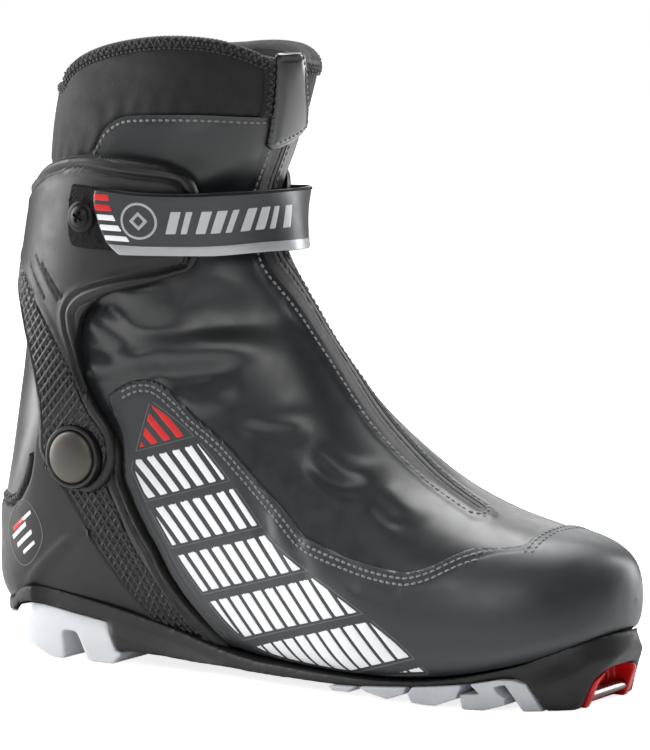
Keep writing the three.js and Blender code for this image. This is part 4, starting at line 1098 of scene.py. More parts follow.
def diamonds(p, pitch=3.0, w=.23, tilt=0.0):
    """thin raised lines crossing in diamonds; w is the line's share of the pitch"""
    c, s = math.cos(tilt), math.sin(tilt)
    x, z = p[:, 0] * c - p[:, 1] * s, p[:, 0] * s + p[:, 1] * c
    n1, n2 = (.80, .60), (-.84, .54)
    h = np.zeros(len(p))
    for n in (n1, n2):
        t = (x * n[0] + z * n[1]) / pitch
        f = np.abs(t - np.round(t))
        h = np.maximum(h, 1 - sstep(f, w * .45, w * 1.15))
    t1 = (x * n1[0] + z * n1[1]) / pitch
    t2 = (x * n2[0] + z * n2[1]) / pitch
    f1, f2 = t1 - np.floor(t1), t2 - np.floor(t2)
    pit = sstep(np.minimum(np.minimum(f1, 1 - f1), np.minimum(f2, 1 - f2)), .1, .3) * sstep(f1 - f2, -.35, .5)
    return h, pit


def counter_fn(P, N, a, b):
    s = poly_sd(xz(P), COUNTER_P)
    # at the very back the top edge is a level line, whatever the surface's slant
    return np.minimum(s, upper_low(P) + 1.0)


def counter_out(P, N, sd):
    p = xz(P)
    q, _ = line_dist(p, cf_line)
    edge = np.where(upper_low(P) + 1.0 < sd + .3, 30, sd)
    out = .6 + (.75 + 1.6 * sstep(P[:, 0], 10, 36)) * round_edge(edge, 2.0)
    out += .75 * bump(q, 1.5, 1.6) - .55 * bump(q, 3.5, .9) + .45 * bump(q, 5.2, 1.4) - .3 * sstep(q, 6.2, 7.4) * sstep(16 - q, 0, 4)
    r, _ = line_dist(p, ridge_line)
    rin = inside(p, np.concatenate([ridge_line, tb_line[8:], [[116, 0], [20, 0]]], 0))
    out += .75 * bump(r, 0, 2.6) * 0 + .7 * np.where(rin, sstep(r, 6, .6), sstep(-r, -1.4, 0)) * sstep(p[:, 0], 22, 30)
    out += 2.2 * sstep(P[:, 2], 50, 27) * sstep(P[:, 0], 40, 16)
    out -= .5 * bump(P[:, 2] - (sole_top(P[:, 0]) + .8), 0, 1.0)
    return out


def make_counter():
    R = cut(LAST, (10, 17.2), (0, 2), 1.0, counter_fn)
    a, b, F, sd = R
    P, N = LAST.read(a, b)
    out = counter_out(P, N, sd)
    t = poly_sd(xz(P), CTEX_P)
    out -= .95 * sstep(t, -.5, .35)
    hole = np.hypot(P[:, 0] - PIVOT[0], P[:, 2] - PIVOT[1])
    ob = piece("heel_counter_shell", closed(LAST, R, out, np.full(len(a), .35)), MATS["cuff"], "boot", "cuff_plastic")
    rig.replaces(ob, "heel_counter")
    parts = []
    for rb in ((.1, .9), (1.1, 1.9)):
        def fn(P, N, a, b):
            p = xz(P)
            return np.minimum(np.minimum(poly_sd(p, CTEX_P) - .25, counter_fn(P, N, a, b)), 30)
        Q = cut(LAST, (10.0, 14.9), rb, .4, fn)
        P, N = LAST.read(Q[0], Q[1])
        h, pit = diamonds(xz(P))
        o = counter_out(P, N, poly_sd(xz(P), COUNTER_P)) - .7 + .8 * h * sstep(Q[3], 0, .5) - .3 * pit
        parts.append(closed(LAST, Q, o, o * 0 + 1.2))
    piece("heel_counter_grip_texture", parts, MATS["cuff_gloss"], "boot", "cuff_plastic", sharp=60)
    # black textile piping along the counter's rear top edge
    def pf(P, N, a, b):
        p = xz(P)
        q, _ = line_dist(p, smooth_line([[-30, 66.2], [5, 66.2], [16.5, 66.0], [22, 67.6], [26, 71.5], [30.5, 78.5], [33, 86]], 4))
        return 1.7 - q
    Q = cut(LAST, (11, 17.5), (0, 2), 1.0, pf)
    P, N = LAST.read(Q[0], Q[1])
    rib = .12 * np.sin((P[:, 1] + P[:, 2] * 1.2) * 2.4)
    ob = piece("counter_top_piping", closed(LAST, Q, .5 + (.7 + 1.0 * sstep(P[:, 0], 14, 30)) * round_edge(Q[3], 1.6) + rib, P[:, 0] * 0 + .05), MATS["textile"], "boot", "lining_textile")


# ---------------------------------------------------------------- ankle cuff
cti, cli, ctx = smooth_line(CUFF_TOP_IN, 4), smooth_line(CUFF_LOW_IN, 4), smooth_line(CUFF_TEX, 4)
PANEL_P = np.concatenate([cti, cli, ctx[::-1]], 0)
STRIP_P = np.concatenate([ctx, [[70, 103], [74, 97], [74.6, 89], [71.5, 82], [66, 77.5], [59.5, 76.4], [52, 79], [46.5, 84], [43.6, 91], [44, 101], [43.5, 111.5], [40.5, 124], [35.5, 137], [29.8, 149.5], [23.2, 159], [14, 164.6], [-30, 166.2], [-30, 172]]], 0)
GROOVES = [smooth_line(g, 3) for g in ([[39.5, 171.2], [53.8, 153.8]], [[44.3, 168.2], [55.9, 154.9]], [[35.2, 167.2], [46.0, 154.0]], [[31.4, 164], [39.7, 154.7]])]


def cuff_fn(P, N, a, b):
    return poly_sd(xz(P), CUFF_P)


def cuff_out(P, N, sd):
    p = xz(P)
    w = poly_sd(p, PANEL_P)
    qt, _ = line_dist(p, cti)
    ql, _ = line_dist(p, cli)
    qx, _ = line_dist(p, ctx)
    out = 4.55 + 1.9 * round_edge(sd, 2.3)
    # rolled beads along the top and the front, with a channel either side; the panel lies a little lower
    q = np.minimum(qt, ql)
    outer = (w < 0) & (q < qx)
    out += np.where(outer, .62 * bump(q, 2.6, 1.9), 0)
    out -= 1.15 * bump(q, 0, 1.5) + np.where(outer, .7 * bump(q, 5.0, 1.1), 0)
    out -= .45 * sstep(w, .3, 4) * sstep(qx, .2, 5)
    for g in GROOVES:
        d, _ = line_dist(p, g)
        out -= .5 * bump(d, 0, .95)
    return out


def make_cuff():
    R = cut(LAST, (12.5, 21.2), (0, 2), .72, cuff_fn)
    a, b, F, sd = R
    P, N = LAST.read(a, b)
    out = cuff_out(P, N, sd)
    t = poly_sd(xz(P), STRIP_P)
    out -= .8 * sstep(t, -.4, .4)
    hub = np.hypot(P[:, 0] - PIVOT[0], P[:, 2] - PIVOT[1])
    out = out + (np.minimum(out, 5.2) - out) * sstep(hub, 13.4, 12.2)
    ob = piece("ankle_cuff_shell", closed(LAST, R, out, np.full(len(a), 4.25)), MATS["cuff"], "cuff", "cuff_plastic")
    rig.replaces(ob, "cuff_shell")
    parts = []
    for rb in ((0.0, .98), (1.02, 2.0)):
        def fn(P, N, a, b):
            hub = np.hypot(P[:, 0] - PIVOT[0], P[:, 2] - PIVOT[1])
            return np.minimum(np.minimum(poly_sd(xz(P), STRIP_P) - .2, cuff_fn(P, N, a, b) - 1.0), hub - 13.2)
        Q = cut(LAST, (12.8, 20.5), rb, .43, fn)
        P, N = LAST.read(Q[0], Q[1])
        h, pit = diamonds(xz(P), tilt=.12)
        # the band round the back is plain, and the lines begin where it turns to the sides
        k = 1 - sstep(-N[:, 0], .66, .88)
        h, pit = h * k + .4 * (1 - k), pit * k
        o = cuff_out(P, N, cuff_fn(P, N, 0, 0)) - .58 + .7 * h * sstep(Q[3], 0, .5) - .28 * pit
        parts.append(closed(LAST, Q, o, o * 0 + 4.8))
    piece("ankle_cuff_grip_texture", parts, MATS["cuff_gloss"], "cuff", "cuff_plastic", sharp=60)

    def lf(P, N, a, b):
        return np.minimum(poly_sd(xz(P), CUFF_P) - 1.6, P[:, 2] - 122 + 0 * a)
    Q = cut(LAST, (13.5, 21.2), (0, 2), 1.8, lf)
    P, N = LAST.read(Q[0], Q[1])
    ob = piece("cuff_padding", closed(LAST, Q, .7 + 3.2 * round_edge(Q[3], 2.5), P[:, 0] * 0 - .05), MATS["lining"], "cuff", "foam")
    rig.replaces(ob, "cuff_lining")


# ---------------------------------------------------------------- turned and small parts
def lathe(profile, x, z, seg=64, side=1):
    """profile of (radius, y), turned about a Y axis through (x, z)"""
    V, F = [], []
    n = len(profile)
    for r, y in profile:
        for k in range(seg):
            t = 2 * math.pi * k / seg
            V.append((x + r * math.cos(t), y, z + r * math.sin(t)))
    for i in range(n - 1):
        for k in range(seg):
            a, b = i * seg + k, i * seg + (k + 1) % seg
            F.append((a, b, b + seg))
            F.append((a, b + seg, a + seg))
    V, F = np.array(V), np.array(F)
    for i in (0, n - 1):
        c = len(V)
        V = np.concatenate([V, [[x, profile[i][1], z]]])
        k = np.arange(seg)
        tri = np.stack([np.full(seg, c), i * seg + k, i * seg + (k + 1) % seg], 1)
        F = np.concatenate([F, tri if i else tri[:, ::-1]])
    # turn the faces to point out
    A, B, C = V[F[:, 0]], V[F[:, 1]], V[F[:, 2]]
    if (np.einsum("ij,ij->i", A, np.cross(B, C))).sum() < 0:
        F = F[:, ::-1]
    return V, F, np.zeros((len(V), 2)), np.full(len(V), 5.0)


def fine(profile, k=5):
    return [tuple(q) for q in smooth_line(profile, k)]


def dome_head(x, z, y0, side, R, H, cross=None, rim=.35):
    """a domed head on a shank, its face a height field so that a cross recess can be sunk in it"""
    rr = np.r_[np.linspace(0, 1, 30) ** .8]
    seg = 96
    t = np.linspace(0, 2 * np.pi, seg, endpoint=False)
    RR, TT = np.meshgrid(rr, t, indexing="ij")
    X, Z = RR * R * np.cos(TT), RR * R * np.sin(TT)
    y = H * (1 - RR ** 2.4) + rim
    if cross:
        l, w, dep = cross
        X2, Z2 = X * math.cos(.5) - Z * math.sin(.5), X * math.sin(.5) + Z * math.cos(.5)
        a = np.minimum(sstep(np.abs(X2), l, l - .35), sstep(np.abs(Z2), w, w - .3))
        b = np.minimum(sstep(np.abs(Z2), l, l - .35), sstep(np.abs(X2), w, w - .3))
        y = y - dep * np.maximum(a, b)
    V = np.stack([x + X, y0 + side * y, z + Z], 2).reshape(-1, 3)
    n = len(rr)
    skirt = np.stack([x + R * np.cos(t), np.full(seg, y0 - side * .2), z + R * np.sin(t)], 1)
    V = np.concatenate([V, skirt, [[x, y0 - side * .2, z]]], 0)
    F = []
    for i in range(n):
        for k in range(seg):
            a, b = i * seg + k, i * seg + (k + 1) % seg
            F += [(a, b, b + seg), (a, b + seg, a + seg)]
    c = len(V) - 1
    F += [(n * seg + k, n * seg + (k + 1) % seg, c) for k in range(seg)]
    F = np.array(F)
    F = F[(V[F[:, 0]] != V[F[:, 1]]).any(1) & (V[F[:, 1]] != V[F[:, 2]]).any(1) & (V[F[:, 0]] != V[F[:, 2]]).any(1)]
    A, B, C = V[F[:, 0]] - [x, y0, z], V[F[:, 1]] - [x, y0, z], V[F[:, 2]] - [x, y0, z]
    if np.einsum("ij,ij->i", A, np.cross(B, C)).sum() < 0:
        F = F[:, ::-1]
    return V, F, np.zeros((len(V), 2)), np.full(len(V), 5.0)


def make_pivots():
    for side, tag in ((-1, "lateral"), (1, "medial")):
        y = lambda v: side * v
        prof = [(3.4, y(34)), (3.4, y(43.9)), (10.7, y(43.9)), (11.1, y(44.2)), (11.15, y(44.7)), (10.8, y(45.25))] + [(10.8 * math.cos(t), y(45.25 + 2.2 * math.sin(t))) for t in np.linspace(.08, math.pi / 2 - .02, 14)]
        ob = piece("pivot_rivet_" + tag + "_head", lathe(prof, *PIVOT, 72), MATS["gun"], "boot", "gunmetal")
        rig.replaces(ob, "pivot_rivet_" + tag)
        yo = 43.3
        ring = [(11.35, y(yo)), (11.35, y(yo + 1.3)), (11.7, y(yo + 1.75)), (12.4, y(yo + 1.9)), (13.1, y(yo + 1.6)), (13.4, y(yo + .9)), (13.4, y(yo - 1.2)), (11.35, y(yo - 1.2))]
        V, F, U, E = lathe(ring + [ring[0]], *PIVOT, 72)
        seg = 72
        F = F[:(len(ring)) * seg * 2]
        V, U, E = V[:-2], U[:-2], E[:-2]
        piece("pivot_collar_ring_" + tag, (V, F, U, E), MATS["cuff_gloss"], "cuff", "cuff_plastic")


def make_strap_hardware():
    x, z = 68.7, 189.4
    ws = [(2.6, -49.7), (6.0, -49.7), (6.35, -50.0), (6.35, -50.5), (5.9, -50.95), (3.4, -51.1), (2.6, -51.0), (2.6, -49.7)]
    V, F, U, E = lathe(ws, x, z, 64)
    F = F[:(len(ws) - 1) * 128]
    ob = piece("strap_washer_turned", (V[:-2], F, U[:-2], E[:-2]), MATS["dark_metal"], "cuff", "gunmetal")
    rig.replaces(ob, "strap_washer")
    head = dome_head(x, z, -51.2, -1, 4.3, 1.25, cross=(2.5, .62, 1.0))
    shank = lathe([(0.01, -41.6), (2.0, -41.6), (2.0, -51.1), (0.01, -51.1)], x, z, 24)
    ob = piece("strap_screw_turned", [head, shank], MATS["dark_metal"], "cuff", "gunmetal")
    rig.replaces(ob, "strap_screw")
    x = 66
    head = dome_head(x, z, 50.6, 1, 4.3, 1.2, cross=(2.5, .62, 1.0))
    shank = lathe([(0.01, 40.9), (2.0, 40.9), (2.0, 50.5), (0.01, 50.5)], x, z, 24)
    ob = piece("strap_anchor_screw_turned", [head, shank], MATS["gun"], "cuff", "gunmetal")
    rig.replaces(ob, "strap_anchor_screw")
    LOOP_P = smooth_line([[62.3, 201.0], [66, 202.2], [80, 201.0], [93, 199.6], [99, 190], [101, 178.5], [85, 176.2], [66, 176.4], [61, 179], [60.6, 190]], 4, True)

    def fn(P, N, a, b):
        s = poly_sd(xz(P), LOOP_P)
        return np.where(P[:, 1] < 0, s, -5)
    Q = cut(LAST, (14, 21), (.15, .95), .5, fn)
    P, N = LAST.read(Q[0], Q[1])
    fuzz = .3 * vnoise(P, 1.5, 9) + .12 * np.sin(P[:, 0] * 2 * math.pi / 2.1) * np.sin(P[:, 2] * 2 * math.pi / 2.1)
    hole = np.hypot(P[:, 0] - 68.7, P[:, 2] - 189.4)
    ob = piece("strap_loop_pile", closed(LAST, Q, 6.6 + .85 * round_edge(Q[3], .8) + fuzz - .3 * sstep(7.4 - hole, 0, 1.2), P[:, 0] * 0 + 5.2), MATS["pile"], "cuff", "loop_pile")
    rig.replaces(ob, "strap_loop_patch")

    def fa(P, N, a, b):
        s = poly_sd(xz(P), smooth_line([[57, 199], [66, 200.3], [74.4, 199.8], [74.4, 188], [74.2, 176.6], [66, 176.2], [57.5, 177.5], [55, 183], [55, 193]], 3, True))
        return np.where(P[:, 1] > 0, s, -5)
    Q = cut(LAST, (14, 21), (1.05, 1.9), .8, fa)
    P, N = LAST.read(Q[0], Q[1])
    ob = piece("strap_anchor_plate", closed(LAST, Q, 6.9 + 1.9 * round_edge(Q[3], 1.2), P[:, 0] * 0 + 6.4), MATS["cuff_gloss"], "cuff", "cuff_plastic")
    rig.replaces(ob, "strap_anchor_medial")


# ---------------------------------------------------------------- power strap: a straight-sided band round the shaft
def strap_sheet():
    na, nb = 281, 37
    tree = BVHTree.FromPolygons(*_last_polys())
    C = np.array([93.0, 0.0])
    th = np.linspace(-math.radians(120), math.radians(120), na)
    ends = []
    for z in (174.2, 200.8):
        H, G = [], []
        for t in th:
            d = Vector((math.cos(t), math.sin(t), 0))
            h = tree.ray_cast(Vector((C[0], C[1], z)), d)
            n = h[1] if h[1].dot(d) > 0 else -h[1]
            H.append(tuple(h[0])); G.append((n.x, n.y))
        H, G = np.array(H), smooth_arr(np.array(G), 12)
        G /= np.linalg.norm(G, axis=1, keepdims=True)
        x = H[:, 0]
        off = np.full(na, 8.55)
        front = sstep(x, 108, 126)
        off += front * (3.2 if z > 190 else -.6)
        H[:, 0] += G[:, 0] * off
        H[:, 1] += G[:, 1] * off
        ends.append(smooth_arr(H, 6))
    lo, hi = ends
    s = np.linspace(0, 1, nb)
    P = lo[:, None] * (1 - s)[None, :, None] + hi[:, None] * s[None, :, None]
    sh = Sheet(P, False, na - 1.0, nb - 1.0)
    if sh.N[10, 5, 1] > 0:
        sh.N *= -1
    d = np.r_[0, np.cumsum(np.linalg.norm(np.diff(P[:, nb // 2], axis=0), axis=1))]
    sh.LA = np.repeat(d[:, None], nb, 1)
    sh.LB = np.repeat((s * 26.6)[None], na, 0)
    sh.len = d[-1]
    return sh


def _last_polys():
    g = LAST.P[::4, ::4]
    na, nb = g.shape[:2]
    idx = np.arange(na * nb).reshape(na, nb)
    j1 = np.roll(idx, -1, 1)
    F = np.stack([idx[:-1].ravel(), j1[:-1].ravel(), j1[1:].ravel(), idx[1:].ravel()], 1)
    return [tuple(v) for v in g.reshape(-1, 3)], [tuple(f) for f in F]


s_top = zline([[60, 202.4], [76, 201.8], [95, 200.1], [114, 199.8], [129, 200.5], [145, 201.0], [175, 201.5]])
s_bot = zline([[60, 175.0], [86.6, 174.0], [97, 173.6], [117, 173.8], [127, 174.3], [141.8, 175.4], [175, 175.6]])


def strap_edges(P):
    z, x = P[:, 2], P[:, 0]
    e = np.interp(z, [172, 174.3, 179.3, 185.6, 193.3, 197.5, 202.5], [91, 86.0, 80.3, 77.2, 74.8, 74.6, 75.6])
    end = np.where(P[:, 1] < 0, x - e, x - 75.8)
    return s_top(x) - z, z - s_bot(x), end


def make_strap():
    SH = strap_sheet()
    globals()["STRAP"] = SH

    def fn(P, N, a, b):
        t, l, e = strap_edges(P)
        return np.minimum(np.minimum(t, l), e)
    R = cut(SH, (0, 1), (0, 1), .85, fn)
    P, N = SH.read(R[0], R[1])
    t, l, e = strap_edges(P)
    th = .62 * round_edge(R[3], .55)
    soft = .12 * vnoise(P, 14, 31)
    seam = .14 * (bump(t, 1.7, .5) + bump(l, 5.3, .6))
    ob = piece("power_strap_band", closed(SH, R, .55 + th - seam, np.full(len(P), -.15)), MATS["strap"], "strap", "strap_sheet")
    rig.replaces(ob, "power_strap")

    def layer(name, g, mat, lift=.1, step=.6, thick=.5, lat=True, ra=(0, 1), rnd=.25):
        def f2(P, N, a, b):
            t, l, e = strap_edges(P)
            return np.minimum(g(P, t, l, e), np.minimum(np.minimum(t, l), e) - .25)
        Q = cut(SH, ra, (0, 1), step, f2)
        P, N = SH.read(Q[0], Q[1])
        return piece(name, closed(SH, Q, .55 + .62 + lift * round_edge(Q[3], rnd), np.full(len(P), .55 + .62 - thick)), mat, "strap", "strap_sheet")
    layer("strap_lower_stripe", lambda P, t, l, e: 4.3 - l, MATS["silver"], .12, .7)
    layer("strap_top_piping", lambda P, t, l, e: np.minimum(1.25 - t, t + 1), MATS["pile"], .22, .4)
    # end bars, sheared like the strap's end
    bars_r, bars_w = [], []
    H = 26.6
    spec = [(23.4, 2.5, 8.2, "r"), (19.2, 2.5, 8.8, "r"), (15.3, 2.3, 9.2, "w"), (11.2, 2.3, 10.2, "w"), (7.1, 2.1, 11.4, "w")]

    def bars(kind):
        def g(P, t, l, e):
            out = np.full(len(P), -9.0)
            for z0, h, w, k in spec:
                if k != kind:
                    continue
                zz = l - (z0 - 1.2)
                skew = e + (zz * .25)
                out = np.maximum(out, np.minimum(np.minimum(zz, h - zz), np.minimum(e - .8, w - skew)))
            return np.where(P[:, 1] < 0, out, -9)
        return g
    layer("strap_end_bars_red", bars("r"), MATS["print_red"], .1, .45, ra=(0, .35))
    layer("strap_end_bars_white", bars("w"), MATS["print_white"], .1, .45, ra=(0, .35))

    # a plain ring badge and a row of slanted blocks stand where the real strap is printed
    def ring(P, t, l, e):
        dx, dz = (P[:, 0] - 95.4) / 1.0, (P[:, 2] - 188.4)
        r = np.hypot(dx, dz)
        a = np.minimum(7.6 - r, r - 6.6)
        d = 3.9 - (np.abs(dx) + np.abs(dz))
        d2 = (np.abs(dx) + np.abs(dz)) - 2.2
        return np.where(P[:, 1] < 0, np.maximum(a, np.minimum(d, d2)), -9)
    layer("strap_ring_badge", ring, MATS["silver"], .1, .4, ra=(0, .42))

    SL = SH.read(np.linspace(0, 1, 200), np.full(200, .5), SH.LA)[0]

    def blocks(P, t, l, e):
        out = np.full(len(P), -9.0)
        # arc position along the strap from the sheet
        s = s_of(P)
        for k in range(9):
            s0 = 0.0 + k * 6.2
            zz = l - 9.6
            u = s - (s_blk + s0) - zz * .28
            w = 4.1 if k % 3 != 1 else 2.6
            out = np.maximum(out, np.minimum(np.minimum(zz, 9.2 - zz), np.minimum(u, w - u)))
        return out
    mid = SH.P[:, SH.P.shape[1] // 2]
    ang = np.arctan2(mid[:, 1], mid[:, 0] - 93.0)

    def s_of(P):
        return np.interp(np.arctan2(P[:, 1], P[:, 0] - 93.0), ang, SH.LA[:, 0])
    s_blk = float(np.interp(math.atan2(-48.0, 107.5 - 93.0), ang, SH.LA[:, 0]))
    layer("strap_slanted_blocks", blocks, MATS["print_silver"], .1, .42, ra=(.1, .62))


# ---------------------------------------------------------------- zip
def make_zip():
    def tf(P, N, a, b):
        return np.minimum(1.2 - band_sd(a, b), (18.6 - a) * 15)
    Q = cut(LAST, (5.6, 18.7), (.80, 1.14), .7, tf)
    P, N = LAST.read(Q[0], Q[1])
    s = zip_s(Q[0], Q[1])
    top = .38 + .16 * sstep(np.abs(s), 2.6, 1.7) - .62 * bump(s, 0.1, .62) * (zip_end(Q[0]) > -1)
    rib = .03 * np.sin(LAST.read(Q[0], Q[1], LAST.LA)[0] * 2 * math.pi / 1.5) * sstep(np.abs(s), 3.0, 2.0)
    ob = piece("zip_tape_band", closed(LAST, Q, top + rib, P[:, 0] * 0 - .7), MATS["tape"], None, "zip_tape")
    flexes(ob)
    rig.replaces(ob, "zip_tape_lower", "zip_tape_upper")
    # coil teeth just below the split, seen between the two lips
    us = np.linspace(6.25, 18.3, 2400)
    Pc, Nc = LAST.read(us, zv(us))
    parts = []
    cap = capsule(1.9, .42, .8)
    L = np.r_[0, np.cumsum(np.linalg.norm(np.diff(Pc, axis=0), axis=1))]
    n = int(L[-1] / 1.25)
    sc = (np.arange(n) + .5) * L[-1] / n
    C = np.stack([np.interp(sc, L, Pc[:, k]) for k in range(3)], 1)
    G = np.stack([np.interp(sc, L, Nc[:, k]) for k in range(3)], 1)
    T = np.gradient(C, axis=0)
    T /= np.linalg.norm(T, axis=1, keepdims=True)
    G /= np.linalg.norm(G, axis=1, keepdims=True)
    B = np.cross(G, T)
    V0, F0 = cap
    for sg in (-1, 1):
        X = (B * .95 + T * .3 * sg)
        X /= np.linalg.norm(X, axis=1, keepdims=True)
        Y = np.cross(G, X)
        c = C + B * (.95 * sg) + T * (.31 * sg) - G * .32
        V = c[:, None] + X[:, None] * V0[None, :, :1] + Y[:, None] * V0[None, :, 1:2] + G[:, None] * V0[None, :, 2:3]
        F = (F0[None] + (np.arange(n) * len(V0))[:, None, None]).reshape(-1, 3)
        parts.append((V.reshape(-1, 3), F, np.zeros((n * len(V0), 2)), np.ones(n * len(V0))))
    ob = piece("zip_coil_teeth", parts, MATS["coil"], None, "zip_tape")
    flexes(ob)
    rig.replaces(ob, "zip_coil_lower", "zip_coil_upper")
    # stitch rows either side, and a box of stitches at the bottom end
    rows = []
    tree = surface_tree(PIECES["softshell"])

    def on_sheet(u, v):
        P, N = LAST.read(u, v)
        A, B = [], []
        for p, n in zip(P, N):
            h = tree.ray_cast(Vector(p + n * 7), Vector(-n), 12)
            if h[0] is not None and h[1].dot(Vector(n)) > .5:
                A.append(tuple(h[0])); B.append(tuple(h[1]))
        if len(A) < 10:
            return
        A, B = np.array(A), np.array(B)
        g = np.r_[0, np.where(np.linalg.norm(np.diff(A, axis=0), axis=1) > 5)[0] + 1, len(A)]
        for i, j in zip(g[:-1], g[1:]):
            if j - i > 8:
                rows.append(stitch_along(smooth_arr(A[i:j], 3), smooth_arr(B[i:j], 8), 2.9, .02, 2.1))
    for sg in (-1, 1):
        u = np.linspace(6.25, 17.9 if sg > 0 else 20.9, 1500)
        w = np.interp(u, [6.2, 8.5, 12, 17], [4.0, 5.8, 6.6, 6.0]) if sg < 0 else 3.5
        on_sheet(u, zv(u) + sg * (w + 2.4) / np.interp(u, _u, _g))
    t = np.linspace(-math.pi / 2, math.pi / 2, 90)
    u = 6.22 - np.cos(t) * 6.0 / 23.0
    on_sheet(u, zv(u) + np.sin(t) * 6.2 / np.interp(u, _u, _g))
    ob = piece("zip_side_stitching", rows, MATS["thread"], None)
    flexes(ob)


# ---------------------------------------------------------------- garage flap over the zip's top
FLAP = [[-18, 257.3], [-3.6, 257.2], [-1, 251.8], [3.9, 241.9], [12.7, 228.8], [13.6, 226.6], [9.7, 223.1], [-0.6, 219.5], [-7.4, 217.6], [-11, 218.3], [-14, 233]]


def make_flap():
    FP = []
    F0 = np.array(FLAP)
    n = len(F0)
    for i in range(n):
        a, b, c = F0[i - 1], F0[i], F0[(i + 1) % n]
        l1, l2 = np.linalg.norm(a - b), np.linalg.norm(c - b)
        r = min(2.0, l1 * .3, l2 * .3)
        p, q = b + (a - b) / l1 * r, b + (c - b) / l2 * r
        FP += [p, .25 * p + .5 * b + .25 * q, q]
    FP = np.array(FP)

    def fn(P, N, a, b):
        s = poly_sd(P[:, [1, 2]], FP)
        return np.where(P[:, 0] > 110, s, -9)
    R = cut(LAST, (16.5, 22), (.75, 1.25), .8, fn)
    P, N = LAST.read(R[0], R[1])
    swell = .7 * np.minimum(sstep(R[3], 0, 5), sstep(257.3 - P[:, 2], -3, 17)) + .25 * vnoise(P, 16, 77) * sstep(R[3], 0, 4)
    hem = .18 * bump(R[3], 2.2, .7)
    ob = piece("collar_flap_sheet", closed(LAST, R, 1.7 + .95 * round_edge(R[3], .9) + swell - hem, 1.25 + swell * .8), MATS["flap"], "flap", "flap_sheet")
    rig.replaces(ob, "collar_flap")
    inner = []
    G = F0[[1, 2, 3, 4, 5, 6, 7, 8, 9]]
    c = F0.mean(0)
    L = smooth_line(G, 8)
    t = np.gradient(L, axis=0)
    t /= np.linalg.norm(t, axis=1, keepdims=True)
    nrm = np.stack([t[:, 1], -t[:, 0]], 1)
    if ((c - L) * nrm).sum() < 0:
        nrm *= -1
    L = L + nrm * 2.2
    tree = surface_tree(ob)
    Ps, Ns = [], []
    for y, z in L:
        h = tree.ray_cast(Vector((220, y, z)), Vector((-1, 0, 0)))
        if h[0] is not None and (y > -7.6 or z < 220.4):
            Ps.append(tuple(h[0])); Ns.append(tuple(h[1] if h[1].x > 0 else -h[1]))
    r = stitch_along(np.array(Ps), smooth_arr(np.array(Ns), 5), 2.7, .0, 1.7)
    piece("collar_flap_stitching", [r], MATS["thread"], "flap")


# ---------------------------------------------------------------- padded collar and linings
def collar_fn(P, N, a, b):
    return np.minimum(rim_at(P) - P[:, 2], P[:, 2] - (collar_low(P[:, 0]) - 4.0))


def make_collar():
    R = cut(LAST, (17, 22), (0, 2), 1.5, collar_fn)
    a, b, F, sd = R
    P, N = LAST.read(a, b)
    up, lo = rim_at(P) - P[:, 2], P[:, 2] - collar_low(P[:, 0])
    h = np.maximum(up + lo, 4)
    t = np.clip(lo / h, 0, 1)
    pad = 1.5 * np.sin(math.pi * t) ** .7
    roll = round_edge(up, 5.0)
    mid = -3.3
    pucker = .22 * np.sin(LAST.read(a, b, LAST.LB)[0] * 2 * math.pi / 9.0 + 2 * vnoise(P, 30, 4)) * sstep(lo, -1, 1) * sstep(-lo, -12, -2)
    soft = .35 * vnoise(P, 20, 12) * sstep(lo, 0, 8)
    frontflat = sstep(P[:, 0], 128, 138)
    out = mid + (2.6 + pad + soft + pucker) * roll * np.where(up < 5, 1, 1) - .55 * bump(lo, 0, 2.0) - .5 * sstep(-lo, -.5, 1.5)
    out = np.minimum(out, .9 - .2 * frontflat * 0)
    out = out * (1 - frontflat) + np.minimum(out, .35) * frontflat
    inn = mid - (3.2 + pad * .9) * roll
    ob = piece("collar_padded_ring", closed(LAST, R, out, inn), MATS["neoprene"], None, "neoprene", sharp=60)
    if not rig.quick():
        puff(ob)
    ob.data.materials.clear()
    ob.data.materials.append(MATS["neoprene"])
    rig.ride(ob, "cuff")
    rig.replaces(ob, "collar")
    return ob


def puff(ob, frames=10, pressure=3.0, cap=1.2):
    """inflates the padded ring a little with Blender's cloth, its edge rows held"""
    me = ob.data
    n = len(me.vertices)
    co = np.zeros(n * 3)
    me.vertices.foreach_get("co", co)
    rest = co.reshape(-1, 3).copy()
    L = rest * 1000 + ORIGIN
    up, lo = rim_at(L) - L[:, 2], L[:, 2] - collar_low(L[:, 0])
    g = ob.vertex_groups.new(name="held")
    held = (lo < 2.0) | (up < 3.5) | (L[:, 0] > 130)
    for k, v in enumerate(held):
        if v:
            g.add([k], 1.0, "REPLACE")
    md = ob.modifiers.new("cloth", "CLOTH")
    st = md.settings
    st.quality = 4
    st.mass = .25
    st.tension_stiffness = st.compression_stiffness = 8
    st.shear_stiffness = 4
    st.bending_stiffness = .6
    st.use_pressure = True
    st.uniform_pressure_force = pressure
    st.vertex_group_mass = "held"
    st.effector_weights.gravity = 0
    md.collision_settings.use_self_collision = False
    md.point_cache.frame_start, md.point_cache.frame_end = 1, frames
    sc = bpy.context.scene
    for f in range(1, frames + 1):
        sc.frame_set(f)
    dg = bpy.context.evaluated_depsgraph_get()
    ev = ob.evaluated_get(dg).to_mesh()
    if len(ev.vertices) == n:
        new = np.zeros(n * 3)
        ev.vertices.foreach_get("co", new)
        new = new.reshape(-1, 3)
        d = (new - rest) * 1000
        if np.isfinite(d).all():
            l = np.linalg.norm(d, axis=1, keepdims=True)
            d = d * np.minimum(1, cap / np.maximum(l, 1e-9))
            rest = rest + d / 1000
    ob.evaluated_get(dg).to_mesh_clear()
    ob.modifiers.remove(md)
    sc.frame_set(1)
    me.vertices.foreach_set("co", rest.astype(np.float32).ravel())
    me.update()


